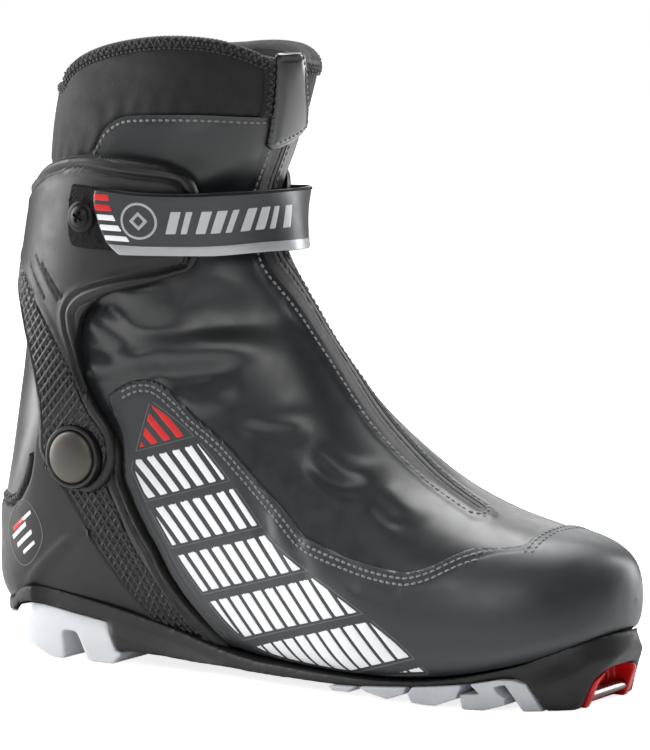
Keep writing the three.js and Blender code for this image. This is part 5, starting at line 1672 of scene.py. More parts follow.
def make_rim_binding():
    us, P, N = [], [], []
    vs = np.linspace(0, 2, 721)[:-1]
    # rim curve: for each v, the u where the surface crosses the rim line
    U = np.linspace(18.5, 22, 400)
    pts, nor = [], []
    for v in vs:
        Q, G = LAST.read(U, np.full(400, v))
        f = rim_at(Q) - Q[:, 2]
        k = np.where((f[:-1] > 0) & (f[1:] <= 0))[0]
        i = int(k[0]) if len(k) else 398
        t = f[i] / (f[i] - f[i + 1]) if f[i] != f[i + 1] else 0
        t = min(max(t, 0), 1)
        pts.append(Q[i] * (1 - t) + Q[i + 1] * t)
        g = G[i].copy(); g[2] = 0
        nor.append(g / np.linalg.norm(g))
    C, G = np.array(pts), np.array(nor)
    for _ in range(6):
        C = (np.roll(C, 1, 0) + 2 * C + np.roll(C, -1, 0)) / 4
    T = np.roll(C, -1, 0) - np.roll(C, 1, 0)
    T /= np.linalg.norm(T, axis=1, keepdims=True)
    Up = np.cross(T, G)
    Up *= np.sign(Up[:, 2:3])
    G2 = np.cross(T, Up)
    G2 *= np.sign((G2 * G).sum(1, keepdims=True))
    d = np.r_[0, np.cumsum(np.linalg.norm(np.diff(C, axis=0), axis=1))]
    tot = d[-1] + np.linalg.norm(C[0] - C[-1])
    # a folded strip over the edge, its cross-section a flat U, ribbed by the overlock thread
    sec = [(.55, -3.9), (.95, -3.6), (1.0, -2.2), (.85, -.9), (.35, -.15), (-.6, .25), (-1.9, .35), (-3.2, .2), (-4.3, -.3), (-4.8, -1.2), (-4.95, -2.6), (-4.7, -3.7), (-4.3, -3.9), (-3.9, -3.4), (-2, -3.0), (.1, -3.4)]
    sec = smooth_line(sec, 2, True)
    m, n = len(sec), len(C)
    rib = 1 + .0 * d
    V = np.zeros((n, m, 3))
    r = .13 * np.sign(np.sin(2 * np.pi * d / (tot / round(tot / 1.9)))) * np.abs(np.sin(2 * np.pi * d / (tot / round(tot / 1.9)))) ** .6
    ctr = sec.mean(0)
    for j, (o, h) in enumerate(sec):
        k = np.array([o, h]) - ctr
        k = k / max(np.linalg.norm(k), 1e-9)
        V[:, j] = C + G2 * (o + k[0] * r - .7 * sstep(C[:, 0], 52, 38))[:, None] + Up * (h + k[1] * r)[:, None]
    i = np.arange(n)[:, None] * m + np.arange(m)[None]
    i2 = np.roll(i, -1, 0)
    F = np.stack([i, np.roll(i, -1, 1), np.roll(i2, -1, 1), i2], 2).reshape(-1, 4)
    F = np.concatenate([F[:, [0, 1, 2]], F[:, [0, 2, 3]]])
    V = V.reshape(-1, 3)
    A, B, Cc = V[F[:, 0]], V[F[:, 1]], V[F[:, 2]]
    c0 = V.mean(0)
    vol = np.einsum("ij,ij->i", A - c0, np.cross(B - c0, Cc - c0)).sum()
    if vol < 0:
        F = F[:, ::-1]
    uv = np.stack([np.repeat(d, m), np.tile(np.r_[0, np.cumsum(np.linalg.norm(np.diff(sec, axis=0), axis=1))], n)], 1)
    ob = piece("collar_rim_binding", (V, F, uv, np.full(len(V), 5.0)), MATS["binding"], "cuff", "lining_textile")
    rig.replaces(ob, "collar_binding")
    # overlock thread: a zigzag over the binding's outer face and a plain row below it
    t = np.linspace(0, tot, 9000)
    dd = np.r_[d, tot]
    loop = lambda A: np.stack([np.interp(t, dd, np.r_[A[:, k], A[:1, k]]) for k in range(3)], 1)
    Cl, Gl, Ul = loop(C), loop(G2), loop(Up)
    per = tot / round(tot / 3.4)
    w = np.abs((t / per) % 1 * 2 - 1)
    Z = Cl + Gl * (.98 + .1 * np.sin(np.pi * w) - .7 * sstep(Cl[:, 0], 52, 38))[:, None] + Ul * (-.9 - 2.7 * w)[:, None]
    piece("collar_rim_overlock", [stitch_along(Z, Gl, 1.6, 0, 1.5), stitch_along(Cl + Gl * (.5 - .5 * sstep(Cl[:, 0], 52, 38))[:, None] - Ul * 4.6, Gl, 2.3, 0, 1.7)], MATS["thread_dark"], "cuff")
    # the collar's front edge beside the flap is bound the same way
    FE = smooth_line([[-29, 262], [-24.5, 259.6], [-20.8, 255.2], [-18.6, 249], [-17.2, 240], [-15.6, 230.2]], 6)

    def fe(P, N, a, b):
        q, _ = line_dist(P[:, [1, 2]], FE)
        return np.where(P[:, 0] > 112, np.minimum(2.1 - q, np.minimum(rim_at(P) - 1.2 - P[:, 2], P[:, 2] - 230.6)), -9)
    Q = cut(LAST, (17.5, 22), (.6, 1.0), .45, fe)
    P, N = LAST.read(Q[0], Q[1])
    q, sa = line_dist(P[:, [1, 2]], FE)
    rib = .16 * np.sin(sa * 2 * math.pi / 1.7) * sstep(Q[3], 0, .8)
    fb = piece("collar_front_binding", closed(LAST, Q, .75 + .75 * round_edge(Q[3], 1.3) + rib, P[:, 0] * 0 - 1.2), MATS["binding"], "cuff", "lining_textile")
    tr = surface_tree(fb)
    ln = float(np.linalg.norm(np.diff(FE, axis=0), axis=1).sum())
    tt = np.linspace(3, ln - 1, 1200)
    ds = np.r_[0, np.cumsum(np.linalg.norm(np.diff(FE, axis=0), axis=1))]
    w = np.abs((tt / 3.2) % 1 * 2 - 1) * 2.4 - 1.2
    A, B = [], []
    for y, z in zip(np.interp(tt, ds, FE[:, 0]) + w, np.interp(tt, ds, FE[:, 1])):
        h = tr.ray_cast(Vector((220, y, z)), Vector((-1, 0, 0)))
        if h[0] is not None and h[1].x > .2:
            A.append(tuple(h[0])); B.append(tuple(h[1]))
    if len(A) > 20:
        piece("collar_front_overlock", [stitch_along(np.array(A), smooth_arr(np.array(B), 4), 1.5, 0, 1.45)], MATS["thread_dark"], "cuff")


def make_linings():
    def fn(P, N, a, b):
        return rim_at(P) - 3.6 - P[:, 2]
    R = cut(LAST, (1.2, 22), (0, 2), 2.6, fn)
    a, b, F, sd = R
    P, N = LAST.read(a, b)
    up = rim_at(P) - P[:, 2]
    puffy = .5 * vnoise(P, 26, 41) + .2 * vnoise(P, 9, 42)
    quilt = .0
    out = np.full(len(a), -6.6)
    near = sstep(up, 34, 8)
    inn = -9.0 + puffy + near * .9 - .0
    out = out
    ob = piece("sock_lining", closed(LAST, R, out, inn), MATS["lining"], None, "foam", sharp=60)
    flexes(ob)
    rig.replaces(ob, "inner_boot", "shaft_liner")
    # footbed
    def ff(P, N, a, b):
        w = np.minimum(b % 2, 2 - (b % 2))
        return (.125 - w) * 120
    vs = np.linspace(-.13, .13, 41)
    us = np.linspace(4.6, 12.9, 201)
    A, B = np.meshgrid(us, vs, indexing="ij")
    P, N = LAST.read(A.ravel(), B.ravel())
    cup = sstep(np.abs(B.ravel()), .07, .13) * 1.6
    V1 = P + N * (-11.0 - .0 - cup)[:, None]
    V0 = P + N * (-9.6 - cup * .6)[:, None]
    n, m = A.shape
    i = np.arange(n * m).reshape(n, m)
    q = np.stack([i[:-1, :-1], i[:-1, 1:], i[1:, 1:], i[1:, :-1]], 2).reshape(-1, 4)
    F = np.concatenate([q[:, [0, 1, 2]], q[:, [0, 2, 3]]])
    k = n * m
    ring = np.concatenate([i[0], i[1:, -1], i[-1, ::-1][1:], i[::-1, 0][1:]])
    W = np.concatenate([np.stack([ring[:-1], ring[1:], ring[1:] + k], 1), np.stack([ring[:-1], ring[1:] + k, ring[:-1] + k], 1)])
    F = np.concatenate([F, F[:, ::-1] + k, W])
    V = np.concatenate([V1, V0])
    c0 = V.mean(0)
    if np.einsum("ij,ij->i", V[F[:, 0]] - c0, np.cross(V[F[:, 1]] - c0, V[F[:, 2]] - c0)).sum() < 0:
        F = F[:, ::-1]
    LA, LB = LAST.read(A.ravel(), B.ravel(), LAST.LA, LAST.LB)
    uv = np.stack([LB, LA], 1)
    ob = piece("footbed_insole", (V, F, np.concatenate([uv, uv]), np.full(2 * k, 5.0)), MATS["footbed"], "boot", "lining_textile")
    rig.replaces(ob, "footbed")


# ---------------------------------------------------------------- sole unit
SOLE_LOW = [[-8, 16.3], [8, 16.5], [17, 17.5], [20.5, 21.3], [29, 22.9], [35, 22.2], [67.7, 17.4], [70.4, 15.1], [74.4, 6.1], [98, 5.9], [113, 5.1], [141, 4.2], [185, 4.3], [200, 4.8], [213, 5.4], [227, 6.5], [238, 7.8], [251.5, 10.0], [264.5, 12.6], [271.6, 11.1], [277.9, 0.2]]
OUT = [[3.5, 0], [5.8, -12], [10.5, -20.5], [18, -27], [29, -32], [45, -34.6], [70, -35], [100, -36], [130, -40], [160, -45.5], [185, -49], [210, -50], [235, -48], [255, -43.5], [270, -37], [282, -28], [292, -17.5], [299, -7], [302, 4]]
INN = [[5.8, 11.5], [10.5, 20], [18, 26.5], [29, 31.5], [45, 33.8], [70, 33.5], [100, 31.5], [130, 33.5], [160, 40], [185, 45], [210, 47.5], [235, 46.5], [255, 43], [270, 37.5], [282, 30], [292, 21], [299, 12]]
PLAN = smooth_line(OUT + INN[::-1], 6, True)


def plan(inset):
    t = np.roll(PLAN, -1, 0) - np.roll(PLAN, 1, 0)
    t /= np.linalg.norm(t, axis=1, keepdims=True)
    return PLAN + np.stack([-t[:, 1], t[:, 0]], 1) * inset


def prism(poly, lo, hi, axis):
    """axis 'y': poly is (x, z); 'z': poly is (x, y); 'x': poly is (y, z)"""
    poly = [tuple(p) for p in poly]
    n = len(poly)
    put = {"y": lambda p, t: (p[0], t, p[1]), "z": lambda p, t: (p[0], p[1], t), "x": lambda p, t: (t, p[0], p[1])}[axis]
    V = [put(p, lo) for p in poly] + [put(p, hi) for p in poly]
    F = [tuple(range(n)), tuple(range(2 * n - 1, n - 1, -1))]
    F += [(i, i + n, (i + 1) % n + n, (i + 1) % n) for i in range(n)]
    me = bpy.data.meshes.new("tmp")
    me.from_pydata([tuple(M(v)) for v in V], [], F)
    import bmesh
    bm = bmesh.new()
    bm.from_mesh(me)
    bmesh.ops.recalc_face_normals(bm, faces=bm.faces)
    bmesh.ops.triangulate(bm, faces=[f for f in bm.faces if len(f.verts) > 4])
    bm.to_mesh(me)
    bm.free()
    ob = bpy.data.objects.new("tmp", me)
    bpy.context.scene.collection.objects.link(ob)
    return ob


def cylinder(r, x, z, y0, y1, seg=48):
    V, F, _, _ = lathe([(r, y0), (r, y1)], x, z, seg)
    return raw(V, F)


def raw(V, F):
    me = bpy.data.meshes.new("tmp")
    me.from_pydata([tuple(v) for v in M(V)], [], [tuple(int(i) for i in f) for f in F])
    ob = bpy.data.objects.new("tmp", me)
    bpy.context.scene.collection.objects.link(ob)
    import bmesh
    bm = bmesh.new()
    bm.from_mesh(me)
    bmesh.ops.recalc_face_normals(bm, faces=bm.faces)
    bm.to_mesh(me)
    bm.free()
    return ob


def boolean(a, b, op, keep=False):
    md = a.modifiers.new("b", "BOOLEAN")
    md.operation = op
    md.solver = "EXACT"
    md.object = b
    apply_mods(a)
    if not keep:
        bpy.data.objects.remove(b)
    return a


def apply_mods(ob):
    dg = bpy.context.evaluated_depsgraph_get()
    dg.update()
    me = bpy.data.meshes.new_from_object(ob.evaluated_get(dg))
    ob.modifiers.clear()
    ob.data = me


def last_body(d, step=4):
    g = LAST.P[::10, ::8] + LAST.N[::10, ::8] * d
    g = g[:80]
    na, nb = g.shape[:2]
    idx = np.arange(na * nb).reshape(na, nb)
    j1 = np.roll(idx, -1, 1)
    F = [tuple(f) for f in np.stack([idx[:-1].ravel(), j1[:-1].ravel(), j1[1:].ravel(), idx[1:].ravel()], 1)]
    V = g.reshape(-1, 3)
    for row in (0, na - 1):
        V = np.concatenate([V, [g[row].mean(0)]])
        F += [(len(V) - 1, int(idx[row, k]), int(j1[row, k])) for k in range(nb)]
    return raw(V, F)


def rounded(ob, voxel, smooth=4, ratio=.35, shape=None):
    """moulded look: even small faces with softened edges"""
    md = ob.modifiers.new("r", "REMESH")
    md.mode = "VOXEL"
    md.voxel_size = voxel / 1000
    sm = ob.modifiers.new("s", "SMOOTH")
    sm.factor = .5
    sm.iterations = smooth
    if shape:
        apply_mods(ob)
        shape(ob)
        sm = ob.modifiers.new("s", "SMOOTH")
        sm.factor = .5
        sm.iterations = 3
    if ratio < 1:
        dm = ob.modifiers.new("d", "DECIMATE")
        dm.ratio = ratio
    apply_mods(ob)
    me = ob.data
    me.polygons.foreach_set("use_smooth", np.ones(len(me.polygons), bool))
    me.set_sharp_from_angle(angle=math.radians(50))
    at = me.attributes.new("edge", "FLOAT", "POINT")
    at.data.foreach_set("value", np.full(len(me.vertices), 5.0, np.float32))
    return ob


def named(ob, name, mat, body, slot, *nodes):
    ob.name = ob.data.name = name
    ob.data.materials.clear()
    ob.data.materials.append(mat)
    PIECES[name] = ob
    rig.ride(ob, body)
    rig.slot(ob, slot)
    if nodes:
        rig.replaces(ob, *nodes)
    return ob


def arch(w, h, yc, z0, n=20, r=6):
    p = [(yc - w, z0), (yc + w, z0)]
    for i in range(n + 1):
        t = math.pi * i / n
        p.append((yc + w * math.copysign(abs(math.cos(t)) ** .55, math.cos(t)), h - r + r * abs(math.sin(t)) ** .8))
    return p


def zs(pts, x):
    P = np.array(pts)
    return np.interp(x, P[:, 0], P[:, 1])


def hug(ob, less=0.0, rear=0.0):
    """the top edge of the sole lies close against the upper, its wall leaning out below"""
    tree = BVHTree.FromPolygons(*_last_polys())
    me = ob.data
    V = np.zeros(len(me.vertices) * 3)
    me.vertices.foreach_get("co", V)
    V = V.reshape(-1, 3) * 1000 + ORIGIN
    h = np.interp(V[:, 0], _st[:, 0], _st[:, 1]) - V[:, 2]
    lim0 = np.interp(V[:, 0], [6, 20, 30, 40, 110, 138], [4.9, 4.6, 3.9, 3.2, 3.1, 1.25]) - less + rear * sstep(V[:, 0], 34, 20)
    fade = sstep(h, 11, 5) * (1 - sstep(V[:, 0], 284, 292) * np.clip(h / 9, 0, 1))
    for k in np.where(fade > .01)[0]:
        p = Vector(V[k])
        q, n, _, d = tree.find_nearest(p)
        if q is None or (p - q).dot(n) * tree_sign < 0:
            continue
        lim = lim0[k] + .42 * max(h[k], 0)
        if d > lim:
            v = p - q
            hor = math.hypot(v.x, v.y)
            if hor > .3 * d:
                m = min((d - lim) * d / hor, hor, 3.2) * fade[k]
                V[k, 0] -= v.x / hor * m
                V[k, 1] -= v.y / hor * m
    me.vertices.foreach_set("co", ((V - ORIGIN) / 1000).astype(np.float32).ravel())
    me.update()


_st = smooth_line(SOLE_TOP, 5)
_q, _n, _, _ = BVHTree.FromPolygons(*_last_polys()).find_nearest(Vector((150, -200, 40)))
tree_sign = 1 if _n.y < 0 else -1


def make_sole():
    top = [(x, z) for x, z in smooth_line(SOLE_TOP[1:], 3)]
    top = [(-8, 21.8), (7.4, 21.9)] + [(x, max(z, 21.9 + .12 * (x - 7.4)) if x < 17 else z) for x, z in top if x > 8]
    prof = [tuple(p) for p in SOLE_LOW] + [(278.4, 0), (287.2, 0), (291.2, 9), (294.4, 15), (297.6, 19), (301, 23.5), (304, 30)] + [p for p in top[::-1] if p[0] < 304]
    body = last_body(.3)
    full = lambda d: [(x - .5 * float(sstep(x, 34, 9)), y * (1 + .08 * float(sstep(x, 46, 16)))) for x, y in plan(d)]
    sole = prism(full(0), -1, 31, "z")
    boolean(sole, prism(prof, -70, 70, "y"), "INTERSECT")
    boolean(sole, body, "DIFFERENCE", keep=True)
    boolean(sole, prism(arch(18.4, 19.9, 1, -3), 279.4, 288.8, "x"), "DIFFERENCE")
    boolean(sole, prism(arch(18.4, 15.6, 1, -3, r=9), 279.4, 320, "x"), "DIFFERENCE")
    for y in (-13, 7):
        boolean(sole, prism([(104, y), (236, y), (236, y + 6), (104, y + 6)], -2, 5.6, "z"), "DIFFERENCE")
    # tread cuts across the waist
    for k in range(9):
        x = 112 + k * 8.5
        boolean(sole, prism([(x, -7), (x + 1.6, -7), (x + 1.6, 5), (x, 5)], -2, float(zs(SOLE_LOW, x)) + .9, "z"), "DIFFERENCE")
    rounded(sole, .85, 3, .32, lambda o: hug(o, 0, 12))
    named(sole, "outsole_moulded", MATS["rubber"], "boot", "sole_rubber", "outsole")

    HEEL = [[20.4, 8.6], [7.4, 13.4], [4.0, 14.8], [4.0, 15.9], [8, 16.2], [17, 17.2], [19.4, 17.4], [22.5, 20.8], [29.1, 22.4], [35, 21.8], [67.5, 17], [69.8, 14.8], [74, 5.6], [77, 5.2], [76.6, 3.8], [73.2, .5], [72.0, 0], [60.6, 0], [59.4, .7], [54.2, 11.2], [52.6, 12.0], [47.4, 12.2], [46.4, 11.2], [47.6, 1.0], [46.6, 0], [40.2, 0], [38.0, .8]]
    heel = prism(full(.35), -2, 40, "z")
    boolean(heel, prism(HEEL, -70, 70, "y"), "INTERSECT")
    # the roof of the gap between the two lugs stays closed beneath the foot
    boolean(heel, prism([(41, 8.6), (61, 8.6), (61, 15), (41, 15)], -22, 23, "y"), "UNION")
    boolean(heel, body, "DIFFERENCE", keep=True)
    boolean(heel, prism([(0, -5), (100, -5), (100, 6), (0, 6)], -3, 8, "z"), "DIFFERENCE")
    # pockets moulded into the lugs' undersides
    for x0, x1 in ((39.8, 45), (61.5, 71)):
        for y0, y1 in ((-26, -10), (11, 26)):
            boolean(heel, prism([(x0, y0), (x1, y0), (x1, y1), (x0, y1)], -1, 1.8, "z"), "DIFFERENCE")
    named(rounded(heel, .6, 3, .4, lambda o: hug(o, .3, 12)), "heel_block_moulded", MATS["white"], "boot", "lug_white", "heel_lug_block")

    LUGS = [
        [[188, 4.4], [190, 2.6], [198, 2.6], [201, 5.0]], [[202.5, 5.3], [206.2, 3.6], [215.8, 1.6], [222.8, 4], [224.4, 7.0], [213, 6.1]],
        [[226.9, 7.2], [224.9, 4.3], [226.9, 1.0], [236.5, 0.6], [245.5, 4], [245.8, 5.5], [247.6, 9.6], [238, 8.4]],
        [[251, 10.2], [254.6, 6.4], [246.9, 5.9], [247.9, 0.4], [248.6, 0], [256.2, 0], [264.0, 2.3], [264.3, 5.2], [261.6, 6.9], [259.8, 9.7], [264.4, 10.5], [264.3, 12.4], [262, 12.4], [258, 11.6]],
        [[264.3, 12.3], [264.2, 10.4], [270.6, 0], [277, 0], [271.2, 10.9], [267, 12.4]],
    ]
    xs = [190, 200, 213, 227, 238, 251.5, 264, 268]
    for name, y0, y1, rr in (("forefoot_lugs_lateral", -70, -23, (-31, -27)), ("forefoot_lugs_medial", 22, 70, (26, 30))):
        z = [float(zs(SOLE_LOW, x)) for x in xs]
        m = prism([(x, q - .2) for x, q in zip(xs, z)] + [(x, q - 1.9) for x, q in list(zip(xs, z))[::-1]], *rr, "y")
        for L in LUGS:
            boolean(m, prism(L, y0, y1, "y"), "UNION")
        boolean(m, prism(plan(.45), -2, 40, "z"), "INTERSECT")
        for x0, x1 in ((208.5, 213.5), (230, 235)):
            ym = (-40, -28) if y0 < 0 else (28, 40)
            boolean(m, prism([(x0, ym[0]), (x1, ym[0]), (x1, ym[1]), (x0, ym[1])], -1, 2.1, "z"), "DIFFERENCE")
        teeth = [prism([(x - .75, -1), (x + .75, -1), (x, .95 + (2.2 - .1 * abs(x - 216) if x < 222 else .35 if x < 240 else 0))], -70, 70, "y") for x in [207 + 2.3 * k for k in range(6)] + [228 + 2.3 * k for k in range(5)] + [250 + 2.3 * k for k in range(3)]]
        for t in teeth:
            boolean(m, t, "DIFFERENCE")
        # painted shade: the forefoot lugs are the same white plastic as the heel block, coloured darker grey for the
        # shade they sit in
        named(rounded(m, .42, 1, .5), name + "_moulded", MATS["grey"], "boot", "lug_white", name)

    ins = prism(arch(18, 19.5, 1, 0), 279.8, 305, "x")
    face = [(279.8, 0), (288.3, 0), (290, 3), (292, 8.5), (294.6, 14.2), (296.4, 18.6), (296.4, 22), (279.8, 22)]
    boolean(ins, prism(face, -30, 30, "y"), "INTERSECT")
    boolean(ins, prism(arch(14.6, 15.2, 1, -2), 284, 320, "x"), "DIFFERENCE")
    boolean(ins, body, "DIFFERENCE", keep=True)
    crown = prism([(-30, 30), (32, 30), (32, -5)] + arch(18.0, 15.2, 1, -5, r=9)[1:] + [(-17, -5), (-30, -5)], 289, 310, "x")
    boolean(ins, crown, "DIFFERENCE")
    for y in (-7.5, 9.5):
        boolean(ins, prism([(y - 1.1, 2.5), (y + 1.1, 2.5), (y + 1.1, 14), (y - 1.1, 14)], 282.2, 290, "x"), "DIFFERENCE")
    named(rounded(ins, .45, 3, .5), "toe_insert_moulded", MATS["red"], "boot", "toe_red", "toe_insert")
    bpy.data.objects.remove(body)

    y0, y1 = -16.4, 18.4
    prof = [(1.4, y0), (1.8, y0 + .15), (2.0, y0 + .55), (2.0, y0 + 1.5), (2.0, -6), (2.0, 1), (2.0, 8), (2.0, y1 - 1.5), (2.0, y1 - .55), (1.8, y1 - .15), (1.4, y1)]
    bar = piece("toe_bar_turned", lathe(prof, 287.8, 4.6, 64), MATS["steel"], "boot", "bar_steel")
    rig.replaces(bar, "toe_bar")


# ---------------------------------------------------------------- printed shapes and stitching on the shell
def decal(name, polys, mat, base, side=-1, clear=.14, thick=.5, ua=(1, 16), step=.62):
    """thin raised shapes on the lateral or medial flank; base(P, N) is the surface's own offset"""
    polys = [np.asarray(p, float) for p in polys]
    lo = np.min([p.min(0) for p in polys], 0) - 1
    hi = np.max([p.max(0) for p in polys], 0) + 1

    def fn(P, N, a, b):
        p = xz(P)
        out = np.full(len(P), -5.0)
        m = (p[:, 0] > lo[0]) & (p[:, 0] < hi[0]) & (p[:, 1] > lo[1]) & (p[:, 1] < hi[1]) & (P[:, 1] * side > 0)
        if m.any():
            q = p[m]
            best = np.full(len(q), -5.0)
            for g in polys:
                best = np.maximum(best, np.maximum(poly_sd(q, g), -5))
            out[m] = best
        return out
    rb = (.05, .98) if side < 0 else (1.02, 1.95)
    Q = cut(LAST, ua, rb, step, fn)
    P, N = LAST.read(Q[0], Q[1])
    d = base(P, N)
    return piece(name, closed(LAST, Q, d + clear * round_edge(Q[3], .3), d - thick), mat, "boot", "overlay", sharp=60)


def overlay_off(P, N):
    return 1.2 + folds_arch(P, N)


BAND_UP = [[93.5, 111.3], [103.0, 105.4], [116.0, 95.8], [136.5, 77.0], [153.4, 60.6], [169.6, 51.4], [196.2, 38.5], [219.7, 24.6], [231.0, 14.5]]
BAND_LO = [[84.8, 84], [88.4, 76.4], [96.0, 63.9], [109.0, 47.1], [122.9, 33.1], [137.1, 21.2], [152, 14.4], [176, 12.0], [204, 11.6]]


def print_layout(P):
    """parallel bars in slanted blocks down the flank, generic racing stripes in place of printed lettering"""
    p = xz(P)
    zone = np.concatenate([smooth_line(BAND_UP, 3), smooth_line(BAND_LO, 3)[::-1]])
    z = poly_sd(p, zone)
    ang = -.80
    e1, e2 = np.array([math.cos(ang), math.sin(ang)]), np.array([-math.sin(ang), math.cos(ang)])
    d = p - np.array([92.0, 112.0])
    s, t = d @ e1, d @ e2
    sk = s - .55 * t
    Ls, Ll = 24.5, 19.5
    k = np.floor(sk / Ls)
    u = sk - k * Ls
    blk = np.minimum(u, Ll - u) * .876
    # the bars grow from fine to broad, block by block
    W = 5.6
    tt = t + 1.3
    m = np.floor(tt / W)
    v = tt - m * W
    w = np.clip(3.0 + .25 * k, 3.0, 4.4)
    bar = w / 2 - np.abs(v - W / 2)
    return z, blk, bar, k, m


def make_prints():
    def fn(kind):
        def g(P, N, a, b):
            out = np.full(len(P), -5.0)
            q = (P[:, 1] < 0) & (N[:, 2] < .8)
            z, blk, bar, k, m = print_layout(P[q])
            d = np.minimum(np.minimum(z, blk), bar)
            is_red = (k <= 0) & (m >= -3) | (k < 0)
            out[q] = np.where(is_red == (kind == "red"), d, -np.abs(d) - .05)
            return out
        return g
    for kind in ("white", "red"):
        Q = cut(LAST, (1, 15.5), (.05, .98), .55, fn(kind))
        P, N = LAST.read(Q[0], Q[1])
        d = overlay_off(P, N)
        piece("flank_bars_" + kind, closed(LAST, Q, d + .13 * round_edge(Q[3], .3), d - .5), MATS["print_" + kind], "boot", "overlay", sharp=60)

    def outline(P, N, a, b):
        out = np.full(len(P), -5.0)
        q = (P[:, 1] < 0) & (N[:, 2] < .8)
        z, blk, bar, k, m = print_layout(P[q])
        d = np.minimum(z, blk) + 1.15
        out[q] = .2 - np.abs(d)
        return out
    Q = cut(LAST, (1, 15.5), (.05, .98), .3, outline)
    P, N = LAST.read(Q[0], Q[1])
    d = overlay_off(P, N)
    piece("flank_block_outlines", closed(LAST, Q, d + .06, d - .4), MATS["print_line"], "boot", "overlay", sharp=60)
    # badge on the counter: a plain rounded lozenge with three bars
    cx, cz = 27.5, 53.0

    def counter_base(P, N):
        return counter_out(P, N, poly_sd(xz(P), COUNTER_P))
    t = np.linspace(0, 2 * np.pi, 48, endpoint=False)
    r0 = 1.0 / (np.abs(np.cos(t)) ** 1.6 + np.abs(np.sin(t)) ** 1.6) ** (1 / 1.6)
    outer = np.stack([cx + 11.0 * r0 * np.cos(t) + 1.5 * np.sin(t), cz + 14.5 * r0 * np.sin(t)], 1)
    inner = np.stack([cx + 10.5 * r0 * np.cos(t) + 1.5 * np.sin(t), cz + 14.0 * r0 * np.sin(t)], 1)

    def badge_fn(P, N, a, b):
        p = xz(P)
        s = np.minimum(poly_sd(p, outer), -poly_sd(p, inner))
        return np.where(P[:, 1] < 0, s, -5)
    Q = cut(LAST, (11, 17), (.05, .98), .3, badge_fn)
    P, N = LAST.read(Q[0], Q[1])
    d = counter_base(P, N)
    piece("counter_badge_outline", closed(LAST, Q, d + .12, d - .4), MATS["print_line"], "boot", "cuff_plastic", sharp=60)

    def slant(x, z, L, w):
        d, n = np.array([.80, .60]), np.array([.25, -.968])
        p = np.array([x, z])
        return [p, p + d * L, p + d * L + n * w, p + n * w]
    decal("counter_badge_bars_white", [slant(19.5, 50.5, 12, 1.8), slant(22.5, 47.5, 12, 1.8), slant(26, 44.8, 9, 1.5), slant(24.5, 57.0, 10, 1.5)], MATS["print_white"], counter_base, step=.35, ua=(11, 17))
    decal("counter_badge_bar_red", [slant(20.5, 54.3, 9, 2.0)], MATS["print_red"], counter_base, step=.35, ua=(11, 17))


def make_stitching():
    ov = surface_tree(PIECES["quarter_overlay_sheet"])
    rows = []
    for side in (-1, 1):
        for off in (2.3, 4.7):
            L = offset_line(ov_line, -off)
            if (poly_sd(L, OVERLAY_P) > 0).mean() < .5:
                L = offset_line(ov_line, off)
            L = L[(L[:, 0] > 79) & (L[:, 0] < 250)]
            r = side_stitches(ov, L, side, 2.9, .08, 2.3)
            if r:
                rows.append(r)
    # toe cap: two rows over the instep
    for off in (2.3, 4.7):
        y = np.linspace(-30, 32, 240)
        Ps, Ns = [], []
        for q in y:
            x = 262.5 + .03 * q + off
            h = ov.ray_cast(Vector((x, q, 140)), Vector((0, 0, -1)))
            if h[0] is not None and abs(h[1].z) > .8:
                Ps.append(tuple(h[0])); Ns.append(tuple(h[1] if h[1].z > 0 else -h[1]))
        if len(Ps) > 20:
            rows.append(stitch_along(smooth_arr(np.array(Ps), 4), smooth_arr(np.array(Ns), 6), 2.9, .0, 2.0))
    piece("overlay_double_stitching", rows, MATS["thread"], "boot")
    so = surface_tree(PIECES["softshell"])
    rows = []
    cl = smooth_line(COLLAR_LOW[3:], 6)
    for side in (-1, 1):
        L = cl + np.array([0, -2.2])
        L = L[(L[:, 0] > 67) & (L[:, 0] < 137.5)]
        r = side_stitches(so, L, side, 2.9, .02, 2.0)
        if r:
            rows.append(r)
    piece("shaft_top_stitching", rows, MATS["thread"], "cuff")


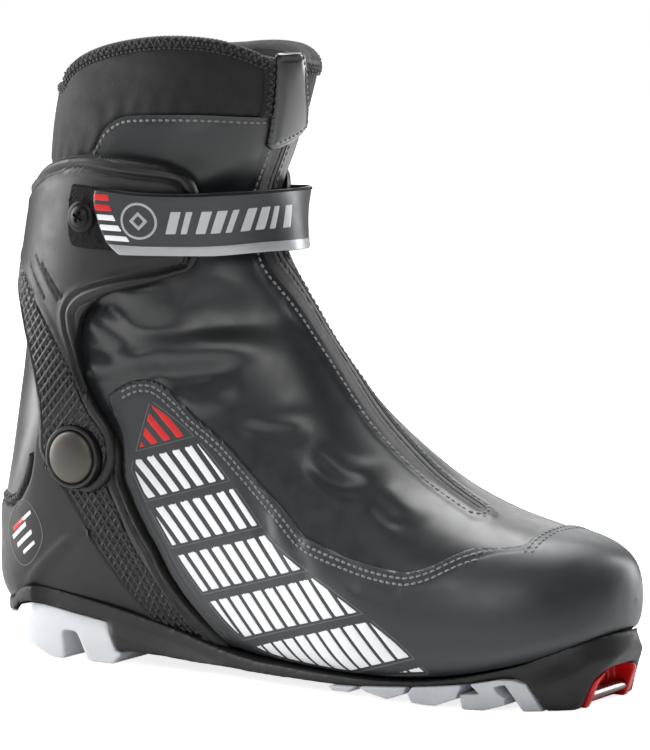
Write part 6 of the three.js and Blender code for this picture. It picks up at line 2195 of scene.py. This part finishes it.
# ---------------------------------------------------------------- floor, light, camera
def make_stage():
    sc = bpy.context.scene
    me = bpy.data.meshes.new("floor")
    r = 7.0
    me.from_pydata([(-r, -r, -.0002), (r, -r, -.0002), (r, r, -.0002), (-r, r, -.0002)], [], [(0, 1, 2, 3)])
    fl = bpy.data.objects.new("floor", me)
    sc.collection.objects.link(fl)
    m = bpy.data.materials.new("floor_pale")
    m.use_nodes = True
    nt = m.node_tree
    b = nt.nodes["Principled BSDF"]
    b.inputs["Base Color"].default_value = (.9, .9, .9, 1)
    b.inputs["Roughness"].default_value = .8
    b.inputs["Specular IOR Level"].default_value = .1
    b.inputs["Emission Color"].default_value = (1, 1, 1, 1)
    lp = nt.nodes.new("ShaderNodeLightPath")
    k = nt.nodes.new("ShaderNodeMath")
    k.operation = "MULTIPLY"
    geo = nt.nodes.new("ShaderNodeNewGeometry")
    ln = nt.nodes.new("ShaderNodeVectorMath")
    ln.operation = "LENGTH"
    nt.links.new(geo.outputs["Position"], ln.inputs[0])
    far = nt.nodes.new("ShaderNodeMapRange")
    far.inputs["From Min"].default_value, far.inputs["From Max"].default_value = .25, 1.1
    far.inputs["To Min"].default_value, far.inputs["To Max"].default_value = .82, 1.3
    nt.links.new(ln.outputs["Value"], far.inputs["Value"])
    nt.links.new(far.outputs["Result"], k.inputs[1])
    nt.links.new(lp.outputs["Is Camera Ray"], k.inputs[0])
    nt.links.new(k.outputs[0], b.inputs["Emission Strength"])
    me.materials.append(m)
    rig.stage(fl)
    w = bpy.data.worlds.new("studio")
    sc.world = w
    w.use_nodes = True
    nt = w.node_tree
    bg = nt.nodes["Background"]
    bg.inputs[0].default_value = (1, 1, 1, 1)
    lp = nt.nodes.new("ShaderNodeLightPath")
    mr = nt.nodes.new("ShaderNodeMapRange")
    mr.inputs["To Min"].default_value = .11
    mr.inputs["To Max"].default_value = 1.0
    nt.links.new(lp.outputs["Is Camera Ray"], mr.inputs["Value"])
    nt.links.new(mr.outputs["Result"], bg.inputs[1])

    ca, sa = math.cos(math.radians(31.8)), math.sin(math.radians(31.8))

    def area(name, right, fwd, up, size, sy, power, aim=(0, 0, .12)):
        """right / away / up as the camera sees it, metres"""
        loc = Vector((right * ca - fwd * sa, right * sa + fwd * ca, up))
        l = bpy.data.lights.new(name, "AREA")
        l.energy = power
        l.shape = "RECTANGLE"
        l.size = size
        l.size_y = sy
        o = bpy.data.objects.new(name, l)
        o.location = loc
        o.rotation_euler = (Vector(aim) - loc).to_track_quat("-Z", "Y").to_euler()
        sc.collection.objects.link(o)
    area("left_strip", -1.05, .34, .45, .5, 1.2, 17)
    area("right_strip", 1.05, .45, .5, .4, 1.2, 13)
    area("top", .05, .35, 1.1, .8, .7, 15)
    area("front_fill", -.55, -1.3, .85, .8, .8, 7)
    area("behind", .1, 1.3, .7, .9, .9, 5)
    cam = bpy.data.cameras.new("camera")
    cam.sensor_fit = "AUTO"
    cam.sensor_width = 36
    cam.lens = 3884 * 36 / 750
    cam.clip_end = 20
    co = bpy.data.objects.new("camera", cam)
    az = math.radians(31.8)
    eye = M([156.5 + 1600 * math.sin(az), -1600 * math.cos(az), 291.0])
    aim = M([156.5, 0, 124.0])
    co.location = eye
    co.rotation_euler = (Vector(aim) - Vector(eye)).to_track_quat("-Z", "Y").to_euler()
    sc.collection.objects.link(co)
    sc.camera = co
    sc.view_settings.view_transform = "Standard"


def dress_cad():
    """the CAD nodes that stay: every one gets a finished material"""
    kinds = {"lasting_board": "board", "shank": "steel", "toe_puff": "board", "tongue": "foam", "eyestay_lateral": "textile", "eyestay_medial": "textile", "laces": "binding",
             "pivot_backing_lateral": "steel", "pivot_backing_medial": "steel", "zip_slider": "gun", "zip_puller": "gun"}
    for n, k in kinds.items():
        o = frame["nodes"][n]
        o.data.materials.clear()
        o.data.materials.append(MATS[k])


import time
_t = time.time()
for step in (make_softshell, make_overlay, make_counter, make_cuff, make_pivots, make_strap_hardware, make_strap, make_zip, make_flap, make_collar, make_rim_binding, make_linings, make_sole, make_prints, make_stitching, dress_cad, make_stage):
    step()
    print("made", step.__name__, round(time.time() - _t, 1), flush=True)
tot = sum(len(o.data.polygons) for o in PIECES.values())
print("faces", tot)
json.dump({"cad": CAD_BOX, "visual": [list(map(float, c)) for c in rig.bounds()]}, open("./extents.json", "w"))
